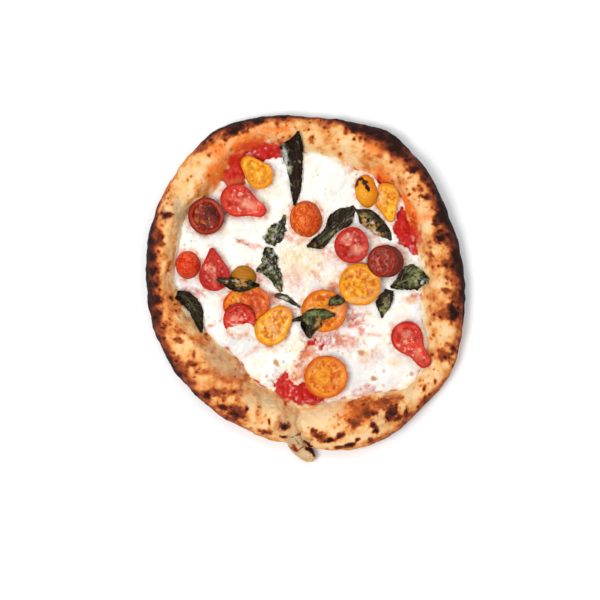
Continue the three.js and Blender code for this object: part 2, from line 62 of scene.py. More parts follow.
# The disc: radii and heights round it from +X, one every 15 degrees.
STEP_DEG = 15
RIM_OUTER = [
    130.5, 129.5, 131, 137, 141.5, 139, 138, 142, 146, 142, 138, 134.5,
    131, 131, 129.5, 128.5, 129, 130.5, 134, 141.5, 142, 139, 139.5, 133.5,
]
RIM_INNER = [
    94, 95, 97, 104, 102, 104, 107, 117, 114, 105.5, 111, 108,
    105.5, 96.5, 87, 80.5, 87.5, 91, 97, 97.5, 103, 117, 112.5, 97.5,
]
RIM_HEIGHT = [
    20, 21, 22, 21, 21, 19, 18.5, 17, 18, 20, 19.5, 19.5,
    20, 19.5, 21, 23, 22, 20, 19, 23, 22, 16, 15.5, 19,
]

# Levels of the base, the sauce, the mozzarella and the foot of the tomato halves.
BASE_TOP = 4.0
SAUCE_TOP = 5.5
CHEESE_TOP = 8.6
TOMATO_FOOT = 6.8

# The rim's section: where its crest lies, how far its foot is tucked in and how high its belly is.
CREST_SHARE = 0.5
FOOT_TUCK = 0.2
BELLY_SHARE = 0.4

# Unevenness of the rim and the mozzarella, the tongue beside the crease, and the crease.
RIM_ROUGHNESS = 1.0
BUBBLES = {"count": 46, "radius": (6, 12), "lift": (0.8, 2.8), "seed": 11}
SWELLS = {"count": 60, "radius": (7, 13), "lift": (-0.7, 1.1), "seed": 5}
TONGUE = {"x": -4.4, "y": -134.6, "heading": -42, "half": (15, 7.4, 5.5), "level": 4.8}
CREASE_LINE = [(-6, -98), (-5.5, -106), (-7.5, -114), (-4.5, -122), (-1, -130), (0.5, -136)]
CREASE = {"deep": 4.2, "narrow": 1.7, "shallow": 2.2, "wide": 6}

# The sauce and the mozzarella: points along a grid, reach under the rim, place of the underside,
# and how far the mozzarella sinks where the sauce is bare.
SAUCE_GRID = 240
SAUCE_TUCK = 3.5
SAUCE_GAP = 0.3
CHEESE_GRID = 300
CHEESE_TUCK = 5
CHEESE_DROP = 0.8
BARE_SINK = 6

# Round the disc: how baked the rim is, how dark its outer edge is, and how far in that reaches.
RIM_BAKE = [
    0.26, 0.24, 0.24, 0.24, 0.26, 0.22, 0.18, 0.22, 0.28, 0.24, 0.2, 0.22,
    0.28, 0.3, 0.33, 0.35, 0.32, 0.22, 0.12, 0.12, 0.2, 0.22, 0.18, 0.22,
]
# The dark edge is char, and on the right, from about 330 to 30 degrees, it is also painted shade of the
# rim's shaded outer side.
EDGE_CHAR_AND_SHADE = [
    0.95, 0.92, 0.9, 0.85, 1.0, 0.92, 0.66, 0.95, 0.85, 0.45, 0.6, 0.92,
    1.0, 0.78, 0.78, 0.68, 0.52, 0.42, 0.3, 0.4, 0.58, 0.55, 0.52, 0.6,
]
EDGE_REACH = [
    12, 13, 12, 11, 18, 10, 7, 8, 10, 3.5, 4.5, 10.5,
    12, 10.5, 9, 7, 5, 4, 3, 4, 6, 5, 5, 8,
]

# Marks on a surface: x, y, half length, half width, heading, strength.
BURNS = [
    (-113.5, 56, 4.2, 2.6, 0, 0.85), (-119, 40, 4.4, 2.6, 90, 0.75), (-116.4, 32.6, 2, 1.4, 0, 0.6),
    (-79.6, 105.5, 2, 2, 0, 0.75), (-83.4, 111.6, 5, 3, 40, 0.55), (-66, 117.3, 2, 1.6, 0, 0.7),
    (-56, 126.5, 8, 4.5, 15, 0.92), (-49, 123.9, 2.5, 1.6, 0, 0.6), (-65.5, 88, 1.4, 1.9, 0, 0.8),
    (4, 118, 4.2, 2, 85, 0.45), (39.3, 127, 5.2, 3.3, -15, 0.9), (52.5, 120.6, 2.4, 2, 0, 0.75),
    (44, 119, 1.6, 1.6, 0, 0.7), (38.8, 118, 1.3, 1.3, 0, 0.75), (32.3, 124, 1.6, 1.6, 0, 0.6),
    (85.4, 92.8, 4.2, 3.8, 0, 0.87), (96.3, 86.2, 3.3, 3.3, 0, 0.8), (94, 76.8, 2, 2, 0, 0.6),
    (98, 70.7, 5.5, 2.8, -5, 0.87), (84.5, 73, 1.5, 1.5, 0, 0.7), (111.8, 55, 7, 6, 0, 0.98),
    (106, 49.5, 4.2, 3, 0, 0.75), (116.5, 46.7, 4, 3, 0, 0.85), (109, 37.7, 4.3, 4.6, 0, 0.9),
    (101.4, 23, 1.5, 2.8, -20, 0.5), (112.7, 17.5, 2.8, 2.8, 0, 0.6), (121.2, 14.7, 3.5, 5.5, 0, 0.8),
    (113.7, -5.5, 3.8, 2.4, 0, 0.65), (127.8, -7.4, 2.3, 6, 0, 0.95), (120.3, -22.5, 5.2, 7, 0, 1.0),
    (111.8, -23.4, 4.7, 4.5, 0, 0.5), (112.7, -58.2, 4.7, 4, 0, 0.62), (119.8, -53.5, 2.4, 3, 0, 0.75),
    (106, -80, 1.5, 2.4, 0, 0.7), (96.7, -85.5, 2.4, 1.3, 70, 0.75), (97.7, -95, 2.6, 1.8, 40, 0.7),
    (81.7, -104.4, 2, 2.8, 0, 0.8), (76, -109, 5.6, 2.2, 20, 0.75), (70.4, -105.3, 5.6, 4.6, 60, 0.82),
    (64.7, -96, 2.8, 1.8, 0, 0.6), (48.7, -105.3, 5, 4, 0, 0.84), (40.3, -112, 6, 4, 35, 0.7),
    (54.4, -115, 2.4, 2.4, 0, 0.85), (57.2, -120, 2.8, 3, 0, 0.92), (42, -127, 2, 1.6, 0, 0.85),
    (52.5, -127, 2.3, 2.3, 0, 0.7), (35.6, -131.6, 4.2, 1.9, 10, 0.9), (27, -133.5, 4.2, 1.4, 5, 0.75),
    (29, -123, 3.6, 2.2, 20, 0.82), (20, -127.4, 3.4, 2, -5, 0.9), (10, -124, 5.4, 3.2, -35, 0.74),
    (5.4, -119, 3, 1.8, -30, 0.7), (37, -98.7, 2.8, 2.8, 0, 0.5), (-121, -13, 2.8, 2.8, 0, 0.87),
    (-104, -46, 3.8, 2.8, 0, 0.5), (-91, -58.2, 1.2, 2.8, 0, 0.8), (-93.8, -65.8, 5.2, 2.2, 10, 0.64),
    (-80.6, -91, 3.8, 3.2, 0, 0.87), (-72, -88.3, 6.5, 3, -5, 0.55), (-68.4, -100.6, 4.2, 2.6, -25, 0.85),
    (-57, -105.3, 7.5, 5, -15, 0.68), (-57, -108, 3.6, 2.6, 0, 0.9), (-48.6, -101.5, 2, 2, 0, 0.8),
    (-29.8, -112.8, 1.2, 2.8, 0, 0.9), (-16.6, -116.6, 4.2, 3.6, 20, 0.95),
    (-33, -120.8, 4.2, 1.8, -15, 0.75), (-18.9, -125, 2.8, 1, 0, 0.9), (-60.8, -76, 6, 4, 0, 0.38),
    # The mark at (1.4, -130.8) is char and painted shade in the gap between the rim and the tongue.
    (43, -104, 13, 9, 20, 0.47), (60, -97.5, 9, 4, 15, 0.46), (1.4, -130.8, 3.6, 2, -40, 0.95),
    (-6.2, -123.2, 2.8, 1.1, 35, 0.66), (-11, -125, 2.6, 0.9, 25, 0.6), (-7, -129, 4.4, 0.9, -50, 0.58),
]
# Grey-tan patches: flour dust, and on the left and lower-left inner slopes, where the rim lies in shade,
# partly painted shade.
FLOUR_AND_SHADE = [
    (-70, -60, 20, 8, -45, 0.75), (-36, -94, 18, 9, -28, 0.65), (-15.6, -112, 10, 10, 0, 0.65),
    (-102.7, 50.4, 18, 5, 100, 0.7), (-113, 59, 9, 6, 60, 0.35), (87, -85.5, 10, 3.5, 60, 0.4),
    (61, -110, 8, 6, 70, 0.5), (-98, -30, 8, 5, -60, 0.4), (-6, -131, 15, 8, -42, 1.0),
]
STAINED = [
    (-72, 90, 14, 8, 60, 0.9), (-48.6, 116, 15, 6.5, 15, 0.8), (-72, 109, 9, 8, 0, 0.6),
    (-30, 126, 13, 4, 0, 0.55), (-14.7, 121.5, 5, 8, 0, 0.4), (54.4, 109.7, 8, 5, -20, 0.55),
    (62.8, 88.6, 9, 6, -35, 0.85), (83.6, 61, 16, 5, -62, 0.9), (97.7, 55, 8, 4, 0, 0.55),
    (42, -102.5, 13, 8, 10, 0.5), (-86, -45, 8, 4, -40, 0.35), (-60, -76, 8, 5, -20, 0.45),
]
PALE_DOUGH = [
    (14, -112, 22, 8, 8, 1.0), (-68, 126, 6, 3, 40, 0.8), (106, -66, 12, 8, 70, 0.6),
    (-98, 74, 12, 6, 55, 0.6), (100, -75, 16, 9, 60, 0.8), (88, -95, 12, 7, 40, 0.7),
    (112, -42, 7, 10, 0, 0.6), (-113, 28, 6, 10, 0, 0.5),
]
TONGUE_BURNS = [
    # The first mark is char and painted shade in the gap between the tongue and the rim.
    (2.2, -133.8, 4.8, 2.6, -42, 0.97), (-8.4, -136, 3.6, 1.5, -50, 0.7),
    (5.8, -138.5, 4, 1.1, -75, 0.85), (-3, -134, 3, 0.8, 35, 0.62),
]
SPECKS = {"count": 560, "radius": (0.5, 1.4), "seed": 21}

# Sauce that lies bare, and marks on the sauce and the mozzarella, in the same form.
BARE_SAUCE = [
    (-53, 97, 22, 13, 35, 1.0), (-34, 110, 18, 8, 5, 1.0), (84, 44, 20, 9.5, 112, 1.0),
    (66, 88, 7, 6, -30, 1.0), (-7, -90, 17, 8.5, -10, 1.0),
]
BROKEN_SAUCE = [
    (3.5, -48, 5.5, 3.5, -35, 0.4), (15, -50, 6, 3, 30, 0.4), (36.5, -27.5, 3.5, 5, 0, 0.4),
    (0.5, -58, 4, 8, -25, 0.35), (-18, -80, 9, 6, -20, 0.42),
]
DOUGH_SAUCE = [(-58, 99, 10, 6, 80, 1.0), (-38, 112, 14, 5, 0, 0.8), (90, 40, 12, 4, 105, 0.8)]
THIN_SAUCE = [(-58, 83.5, 11, 4, 10, 0.8), (-69, 81, 6, 6, 0, 0.8)]
# Pale pink-white flecks on the sauce: whey, and painted highlights on the wet pulp.
WHEY_AND_GLINTS = [
    (-43, 108, 6, 4, 0, 1.0), (-9, -91, 12, 7, 0, 1.0), (88, 32, 8, 8, 0, 0.7), (-32, 113, 12, 5, 0, 1.0),
    (10, -50, 14, 8, 0, 1.0),
]
SAUCE_FLECKS = [
    (12, -50, 19, 9, 15, 1.0), (40, -28, 9, 9, 0, 0.9), (-12, -81, 12, 9, 0, 1.0),
    (18, 23, 6, 4, -20, 0.5), (50, -92, 10, 4, 0, 0.5), (-32, -4, 9, 6, 40, 0.6), (56, 30, 6, 6, 0, 0.5),
    (84, 44, 22, 12, 112, 0.8),
]
PINK_STAINS = [
    (-46.7, 32.6, 9, 2.2, -20, 0.9), (-42, 31, 4, 3, 0, 0.7), (-12.4, 36.8, 5.5, 2.8, -30, 1.0),
    (17.7, 24, 9, 5, -20, 0.6), (49.2, 16.6, 4.5, 6, 0, 1.0), (55.3, 39, 6, 4, 0, 0.6),
    (-91, -8, 8, 4.5, -20, 0.8), (-79.2, -34.2, 4.5, 2.4, 20, 1.0), (-66, -52.6, 2.6, 1.6, 0, 0.9),
    (-36, 4, 9, 5, 60, 0.85), (-26, -10.5, 6, 4, 0, 0.95), (-12, 0, 10, 8, 0, 0.45),
    (17, 17, 10, 5, 0, 0.4), (-8.5, -22.7, 5, 3, 0, 0.75), (18.9, -46, 21, 7, -5, 0.95),
    (41, -28, 9, 9, 0, 0.95), (47.8, -88.4, 11, 5, 0, 0.75), (33, -50, 14, 6, 0, 0.6),
    (60, -57, 6, 7, 0, 0.45), (-18.5, -80, 9, 8, 0, 0.95), (2, -94, 12, 6, 0, 0.6),
    (78, 30, 7, 5, 0, 0.4),
]
OIL_STAINS = [
    (1, -59, 6, 9, -20, 0.95), (-5.3, -70, 13, 5.5, 50, 0.95), (87, -12.6, 6, 3.5, 0, 0.55),
    (8.5, 7, 5, 2, -50, 0.95), (22.7, -1, 6, 3, 0, 0.9), (35, 97, 10, 4, -40, 0.45),
    (-15, 58, 4, 9, 0, 0.3), (-1, 36, 9, 3, 0, 0.4), (-42, -54.7, 9, 2, 30, 0.5),
    (-17.8, 4, 6, 8, 0, 0.35), (-6.5, 9.3, 8, 6, 0, 0.3), (33, -46, 10, 5, 0, 0.4),
    (48, -63, 8, 6, 0, 0.35), (10, -100, 14, 3, 0, 0.8),
]
SAUCE_STREAKS = [
    (46, -38.9, 7, 1.8, -28, 0.6), (54, -41.4, 9, 1.4, -10, 0.85), (-40, 31.5, 6, 1.2, -20, 0.6),
]
CREAM_STAINS = [
    (-4.6, 20.6, 21, 16, 0, 0.95), (-23, 77, 9, 7, 0, 0.4), (73, -64, 6, 5, 0, 0.9),
    (47.8, -58, 7, 5, 0, 0.7), (80, -85.5, 9, 6, 20, 0.6), (5.4, 97.5, 10, 9, 0, 0.35),
    (33, 97, 10, 5, -40, 0.5), (87, -12.6, 6, 3.5, 0, 0.8), (-30, -57, 12, 5, 30, 0.3),
    (25, 2, 14, 9, 0, 0.5), (-10, -52, 10, 7, 0, 0.5),
]
# Bluish-grey patches: thinner mozzarella, and near the rim on the left painted shade cast by the rim.
COOL_AND_SHADED = [
    (-60, -50, 22, 9, -30, 0.9), (42, -76, 9, 16, 0, 0.9), (-80, 37, 18, 7, -15, 0.6),
    (-22, 100, 5, 7, 0, 0.7),
]
TOASTED = [
    (-24, -64.8, 2.2, 2.8, 0, 0.9), (46.4, -56.8, 3.2, 2.2, -20, 0.9), (56.3, -77.5, 2.4, 1.9, 0, 0.9),
    (86.8, -73.8, 1.9, 1.9, 0, 0.8), (64, -72, 1.2, 2, 0, 0.5), (64, -83.5, 1.3, 1.5, 0, 0.5),
    (-31, -79, 1.5, 1.3, 0, 0.5),
]

# Lumps of mozzarella: x, y, radius, lift. Pools, herb flecks and crumbs are drawn by seed.
LUMPS = [
    (-51, -40, 13, 5.0), (-62, -42, 7, 3.5), (-6.5, -37.5, 7, 3.8), (16, 88, 16, 1.6), (-80, 34, 14, 1.2),
    (62, -42, 14, 1.2),
]
POOLS = {"count": 46, "seed": 8, "valley": 6.0, "depth": 0.9}
HERBS = {"count": 170, "radius": (0.5, 1.1), "seed": 9}
CRUMBS = {"count": 420, "radius": (0.6, 1.7), "seed": 15}

# Looks of a cut face: strength of its gel, seeds, core and glints, of rays from the core, of a light middle,
# of a hollow and of light lines in it.
# The glints are painted wet highlights, and a hollow is darkened with painted shade.
Face = namedtuple("Face", "gel seeds core glints rays glow hollow lines", defaults=(0.0, 0.0, 0.0, 0.0))
FACES = {
    "seeded": Face(0.65, 0.22, 0.2, 0.85),
    "plain": Face(0.4, 0.15, 0.05, 0.4, glow=0.3),
    "golden": Face(0.35, 0.12, 0.0, 0.35, rays=0.3, glow=0.9),
    "smooth": Face(0.1, 0.1, 0.0, 0.25, rays=0.35, glow=0.2),
    "rayed": Face(0.3, 0.1, 0.3, 0.5, rays=0.7, glow=0.2),
    "hollow": Face(0.3, 0.1, 0.0, 0.35, hollow=1.0),
    "swirled": Face(0.2, 0.1, 0.0, 0.25, hollow=0.52, lines=0.9),
}

# Tomato halves. A half shows its cut face or its skin. A tip is the narrow end of a pear shape, and a neck
# is how far its sides are drawn in. Deep is how far the flesh takes the skin's colour, or the skin the
# flesh's if it is below 0.
Half = namedtuple(
    "Half", "kind at size heading tip face tilt shoulder deep neck",
    defaults=(0, None, "seeded", (0, 0), None, 0, 0),
)
SKIN = None
TOMATOES = {
    "tomato_orange_left": Half("orange", (-48.5, -16), (39, 29), 8, deep=0.55),
    "tomato_red_left": Half("red", (-54.8, -27.6), (26.5, 26.5), tilt=(14, 0), deep=0.25),
    "tomato_yellow_pear_right": Half("yellow", (66.5, 66.5), (33, 22), -78, 0.3, "plain"),
    "tomato_yellow_right": Half("yellow", (49.9, 75.9), (28, 20), 100, face=SKIN),
    "tomato_red_pear_top": Half("red", (-50.9, 66.2), (39.8, 27), -24, 0.42, neck=0.8),
    "tomato_yellow_pear_top": Half("yellow", (-41, 92), (31, 22.5), 133, 0.55, "plain"),
    "tomato_dark_left": Half("dark", (-81.7, 55.5), (30, 30.5), face="hollow"),
    "tomato_orange_edge": Half("orange", (-97, 15.6), (21, 24), face=SKIN, deep=1.3),
    "tomato_red_pear_left": Half("red", (-75.5, 12), (36, 25.5), 95, 0.22, deep=0.75),
    "tomato_olive": Half("olive", (-51.3, 5), (21.7, 21.7), face=SKIN),
    "tomato_yellow_middle": Half("yellow", (-26, -33.6), (36, 27), 52, 0.75, "rayed"),
    "tomato_orange_middle": Half("orange", (14.8, -22), (37.5, 35), face="golden", deep=-0.6),
    "tomato_yellow_round": Half("yellow", (44.1, -0.6), (34.4, 34.8), face="smooth", deep=0.4),
    "tomato_red_round": Half("red", (37.5, 31.9), (30, 28.7), 80, 0.8, deep=0.6),
    "tomato_dark_right": Half(
        "dark", (66.8, 18.5), (30, 27), face="swirled", tilt=(0, -12), shoulder=(0.8, 0.96, -2.9, 2.0)
    ),
    "tomato_orange_top": Half("orange", (0, 53.3), (31.5, 27.6), 100, face=SKIN, deep=0.75),
    "tomato_red_pear_right": Half("red", (87.5, -50.5), (43.5, 26.5), -54, 0.43, neck=2),
    "tomato_orange_lower": Half("orange", (16.2, -75.9), (35, 35), face="golden", deep=-0.25),
}

# Marks on the tomato halves, in the same form.
# Pale cores and seeds. The three marks on the dark left half, at (-90, 58.9), (-83.4, 50.4) and (-90, 52),
# are painted orange highlights.
PALE_FLESH_AND_GLINTS = [
    (-46.5, 65, 6.5, 4, -20, 0.8), (-77.8, 12.3, 4.5, 3.2, 0, 0.85), (33.7, 37.3, 5, 4, 40, 0.75),
    (42, 27.4, 6, 3.5, 20, 0.75), (82.6, -41.3, 4, 3, 0, 0.55), (92, -57.3, 5.5, 3, -60, 0.4),
    (-27.9, -35.6, 6.5, 2.6, -50, 0.8), (-58, -28, 4, 2.5, 0, 0.6), (61.9, 71, 7, 2.2, -80, 0.6),
    (-90, 58.9, 1.4, 2, 0, 0.8), (-83.4, 50.4, 4.5, 1.6, -15, 0.9), (-90, 52, 2.4, 2, 0, 0.8),
    (-38, 66, 3, 2, 60, 0.5), (27, -22, 3, 6, 0, 0.5), (43, -13, 9, 2.2, 8, 0.55),
    (54.7, -6, 2.4, 4, -20, 0.4),
]
DEEP_FLESH = [
    (-46.7, 75.5, 6, 2.8, -35, 0.9), (-43, -18, 9, 3, -45, 0.8), (-67.5, 8, 4, 4, 0, 0.9),
    (-80.6, 9.5, 3, 3, 0, 0.6), (-46, -20.5, 4, 2.5, -45, 0.7), (95, -41, 2.5, 6, 10, 0.6),
    (52, 2, 8, 9, 0, 0.4), (34, 24, 9, 4, 0, 0.6), (-40, -14, 8, 1.3, -60, 0.9),
    (-35.5, -10, 7, 1.2, -55, 0.9), (-45, -9, 6, 1.1, -12, 0.8), (-33, -18, 3, 4, 0, 0.9),
    (-69, 3, 5, 6, 0, 0.8), (-84, 4, 4, 6, 20, 0.7), (-18, -24, 6, 9, -40, 0.2),
]
GOLD_FLESH = [(-62, -9, 9, 8, 0, 0.85), (-50, -4, 8, 3, 0, 0.5), (12, -75.5, 7, 8.5, 0, 0.75)]
SCORCHED = [
    (41.6, 83.3, 3.6, 1.8, 62, 1.0), (44.4, 85.7, 3.4, 1.8, 5, 1.0), (47.4, 83.2, 3.6, 2.1, -45, 1.0),
    (50, 79.4, 3, 1.4, -60, 1.0),
]

# Depth of a cut half and height of one with its skin up, as shares of the width, and the dish of a cut face.
CUT_DEPTH = 0.27
CUT_DISH = 0.9
SKIN_HEIGHT = 0.46
TOMATO_SIDES = 160
TOMATO_ROWS = {"foot": 5, "dome": 60, "bowl": 15, "step": 14, "face": 54}
OUTLINE_SIDES = 720
TOMATO_SEED = 200
SEED_COUNT = 34

# How far the rim reaches over the foot of a half with its skin up, and stays under the face of a cut one.
SKIN_BED = 2
CUT_BED = 1.5

# Basil leaves: the midrib from stalk to tip, the blade's widths beside it at even steps, the lift of its
# edges, how green it is and how far its edges are torn.
Leaf = namedtuple("Leaf", "midrib left right curl green torn", defaults=(0.4, 0.13))
LEAVES = {
    "basil_top": Leaf(
        [(-9.5, 64.6), (-8.3, 78), (-7.6, 104), (-6.4, 124.8)],
        [0.5, 2.4, 4, 4.6, 5.6, 8, 10.5, 12, 12, 4.5, 0.4], [0.5, 4, 5, 5.2, 4.7, 0.4], 2, green=0.03,
    ),
    "basil_centre": Leaf(
        [(0.7, 30.7), (13, 37.3), (23.3, 47.6), (31.8, 56.1), (40.3, 62.7)],
        [0.5, 4.2, 3.8, 8.5, 7, 2], [0.5, 6.5, 5, 6.5, 8, 2], 2, green=0.18,
    ),
    "basil_curled": Leaf(
        [(41.2, 60.8), (51.6, 55.1), (60, 48.6), (66.6, 41), (69.9, 35.9)],
        [1, 4.7, 6, 5, 4, 1], [1, 7, 8.5, 8.5, 5.5, 1], -2, green=0.35,
    ),
    "basil_right": Leaf(
        [(69.4, -2.7), (78, 1.5), (85.4, 4.3), (93, 5.2), (100, 3.4)],
        [0.5, 4, 9.5, 12, 6, 1], [0.5, 5.5, 8, 9, 9, 3], 1.5, green=0.95,
    ),
    "basil_right_small": Leaf(
        [(68, -4.6), (66.1, -11.2), (64.3, -18.7), (62.2, -27.6)],
        [4, 5.5, 4.7, 4, 2, 0.4], [3, 4.7, 7, 7.5, 3.2, 0.4], 1.5, green=0.3,
    ),
    "basil_mid_upper": Leaf(
        [(-17.8, 56.8), (-19.7, 49.8), (-24.4, 40.4), (-28.2, 31.9)],
        [0.5, 2.5, 4.7, 5.5, 5, 2], [0.5, 1.8, 6.5, 9, 9.5, 6], 1.5, green=0.6, torn=0.3,
    ),
    "basil_mid_lower": Leaf(
        [(-29.6, 30), (-31, 21.5), (-29.1, 13.1), (-24.4, 3.7), (-20.4, -6.7)],
        [2, 7, 6.5, 6, 3.6, 0.6], [3, 4.5, 10.5, 5.5, 3.2, 0.6], 1.5, green=0.5, torn=0.3,
    ),
    "basil_sprig": Leaf(
        [(-25.8, -9), (-17.8, -10.9), (-11.2, -14.7), (-4.6, -19.4)],
        [0.5, 2.4, 2.4, 1.8, 1.2, 0.4], [0.5, 2.4, 2.4, 1.8, 1.2, 0.4], 0.5, green=0.8,
    ),
    "basil_orange_low": Leaf(
        [(3.8, -27.4), (3.4, -33.1), (2.4, -38.7), (3.8, -44.8)],
        [7, 8.5, 8, 5.5, 3, 0.5], [6, 7.5, 7, 5, 3, 0.5], 1, green=0.3,
    ),
    "basil_orange_long": Leaf(
        [(-11.7, -30.2), (-2.7, -27.9), (4.8, -25), (14.2, -25), (24.1, -25.5)],
        [0.5, 2, 4.2, 4.8, 3.8, 0.6], [0.5, 2, 3, 4.5, 3.8, 0.6], 1, green=0.75,
    ),
    "basil_orange_small": Leaf(
        [(18.4, -17.5), (24.5, -13.8), (31.6, -13.8)],
        [0.5, 3, 4, 4, 3, 0.5], [0.5, 2, 3.5, 4, 3, 0.5], 1, green=0.6,
    ),
    "basil_left": Leaf(
        [(-106.2, -8.8), (-98.5, -11.2), (-91.9, -19.6), (-88.1, -30), (-85.5, -39.9)],
        [3, 4.7, 6, 6, 3, 0.5], [3, 6.5, 5, 4.5, 3, 0.5], 2, green=0.26,
    ),
    "basil_left_middle": Leaf(
        [(-73.3, 4.1), (-64.9, 1.8), (-55.5, -0.6), (-47, -1), (-38, -0.9)],
        [0.6, 2.5, 4.7, 5.2, 3.6, 0.5], [0.6, 3.5, 5.5, 5.2, 3, 0.5], 1, green=0.3,
    ),
}
LEAF_THICK = 0.5
MIDRIB_STEPS = 240
LEAF_SEED = 400
# Painted shade: how much darker the underside is than the top.
LEAF_UNDERSIDE_SHADE = 0.8

# Marks on the blades, in the same form.
# Pale marks are veins and paler blade; those on basil_centre at (36.5, 52.3), (19.6, 40.1) and (13.9, 35.4)
# are painted highlights.
LEAF_PALE_AND_SHEEN = [
    (-17.5, 105, 10, 3, -76, 0.7), (-31.5, 43, 11, 5, 80, 1.0), (-37, 17, 6, 5, -30, 1.0),
    (-29, 12, 6, 3, -60, 0.6), (-18.7, -11.4, 4, 2, -20, 0.7), (36.5, 52.3, 7, 1.2, 45, 0.4),
    (19.6, 40.1, 6, 1.2, 45, 0.4), (13.9, 35.4, 4, 1, 40, 0.4), (89.5, 7.5, 7, 3, 45, 0.7),
    (93, 2.4, 6, 3.5, 0, 0.8), (63.1, -20.8, 5, 3, 70, 0.7), (8, -24.6, 9, 2.2, 0, 0.45),
    (25, -13.8, 5, 2, 0, 0.4), (1, -30, 4, 2, -45, 0.4),
]
LEAF_TAN = [
    (47, 53.5, 6, 5, 0, 1.0), (53.5, 47.5, 8, 4.5, -45, 1.0), (60, 40, 6, 4, -45, 1.0),
    (-55.5, 1.5, 7, 2.8, -5, 0.9), (-64, 2, 4, 1.6, -10, 0.5), (9.5, -31.2, 3, 4, 0, 0.6),
    (-22, -3.9, 4, 1.6, -60, 0.6), (7.3, 31, 4, 2, 30, 0.25), (66, -12, 4, 2, 80, 0.25),
]
LEAF_DARK = [(84, -4.6, 16, 2.0, -2, 1.0), (73.5, -1, 5, 3.5, 30, 0.85)]
# Milky marks are mozzarella on the blades, and as thin streaks painted grey highlights.
LEAF_MILK_AND_SHEEN = [
    (-17.3, 107, 9, 2, -76, 0.45), (-24.4, 45.1, 8, 1.2, 75, 0.5), (-26.3, 26.2, 5, 1, 60, 0.6),
    (-31, 15, 6, 1.5, -60, 0.5), (-33, 40, 7, 1.4, 80, 0.4), (-18.7, -11.4, 3.5, 1.3, -20, 0.5),
    (51.5, 52.3, 4, 1.4, -30, 0.6), (57.5, 43, 3, 1.2, -40, 0.4), (-60, 2.4, 4, 1, 0, 0.35),
    (95, 1.5, 4, 1.4, -20, 0.5),
]

# The stage, in metres: half the floor, the level of the toppings that the camera frames, and softboxes, each
# with a place, a size and a share of the key light's power.
FLOOR_REACH = 3.0
FRAMED_LEVEL = 0.012
SOFTBOXES = {
    "key_softbox": ((-0.8, -0.34, 1.4), 0.8, 1.0),
    "right_softbox": ((0.9, 0.7, 1.1), 1.0, 0.38),
    "back_softbox": ((-0.5, 1.0, 1.1), 1.0, 0.38),
    "front_softbox": ((0.6, -1.0, 1.1), 1.0, 0.25),
}


def smooth_curve(a, b, c, d, t):
    """A cubic from b to c: at each of them its slope is half the step between the values on either side."""
    return b + 0.5 * t * (c - a + t * (2 * a - 5 * b + 4 * c - d + t * (3 * (b - c) + d - a)))


def around(values, degrees):
    """A list that runs round the disc, joined smoothly, at any angles."""
    values = np.asarray(values, float)
    count = len(values)
    place = np.mod(np.asarray(degrees, float) / STEP_DEG, count)
    first = np.floor(place).astype(int)
    return smooth_curve(*(values[(first + k) % count] for k in (-1, 0, 1, 2)), place - first)


def spline(values, share):
    """A list whose entries lie at even steps from 0 to 1, joined smoothly, at any shares."""
    values = np.asarray(values, float)
    last = len(values) - 1
    place = np.clip(share, 0, 1) * last
    first = np.minimum(np.floor(place).astype(int), last - 1)
    return smooth_curve(*(values[np.clip(first + k, 0, last)] for k in (-1, 0, 1, 2)), place - first)


def seeded(seed):
    """A small generator of numbers from 0 to 1: a counter, its bits mixed by shifts and two products."""
    state = seed
    while True:
        state = (state + 0x6D2B79F5) & WORD
        t = ((state ^ (state >> 15)) * (1 | state)) & WORD
        t = ((t + (((t ^ (t >> 7)) * (61 | t)) & WORD)) ^ t) & WORD
        yield (t ^ (t >> 14)) / (WORD + 1)


def scatter(cells, seed):
    """A random number from -1 to 1 for each whole-number cell: its three indices hashed together."""
    n = cells[..., 0] * 73856093 ^ cells[..., 1] * 19349663 ^ cells[..., 2] * 83492791 ^ (seed * 40503 + 977)
    n = ((n ^ (n >> 13)) * 1274126177) & WORD
    n = ((n ^ (n >> 15)) * 2246822519) & WORD
    return (n & 0xFFFF) / 32767.5 - 1


def grain(points, size, seed):
    """Smooth random values from -1 to 1: numbers on a lattice of that size, blended between its corners."""
    scaled = points / size
    cell = np.floor(scaled).astype(np.int64)
    blend = scaled - cell
    blend = blend**3 * (blend * (blend * 6 - 15) + 10)
    total = np.zeros(points.shape[:-1])
    for corner in np.ndindex(2, 2, 2):
        weight = np.prod(np.where(corner, blend, 1 - blend), axis=-1)
        total += weight * scatter(cell + np.array(corner), seed)
    return total


def layered(points, size, layers, seed):
    """Grain of several sizes, each half the last and half as strong."""
    return sum(grain(points, size / 2**k, seed + k) / 2**k for k in range(layers))


def ease(low, high, value):
    """0 below low, 1 above high and a smooth cubic step between."""
    t = np.clip((value - low) / (high - low), 0, 1)
    return t * t * (3 - 2 * t)


def polar(radius, degrees):
    """Plan coordinates of a radius and an angle."""
    turn = np.radians(degrees)
    return radius * np.cos(turn), radius * np.sin(turn)


def flat(x, y):
    """Points of the plane z = 0, for grain that only depends on the plan."""
    return np.stack([x, y, np.zeros_like(x)], -1)


def turned(x, y, centre, heading):
    """Coordinates along and across a direction, from a centre."""
    turn = math.radians(heading)
    dx, dy = x - centre[0], y - centre[1]
    return dx * math.cos(turn) + dy * math.sin(turn), dy * math.cos(turn) - dx * math.sin(turn)


def painted(x, y, marks, ragged, soft=0.35):
    """The strongest of elliptical marks at each place: full inside, faded over a ragged edge."""
    most = np.zeros_like(x)
    for mx, my, long, wide, heading, strength in marks:
        along, across = turned(x, y, (mx, my), heading)
        away = np.hypot(along / long, across / wide) + ragged
        most = np.maximum(most, strength * (1 - ease(1 - soft, 1 + soft, away)))
    return most


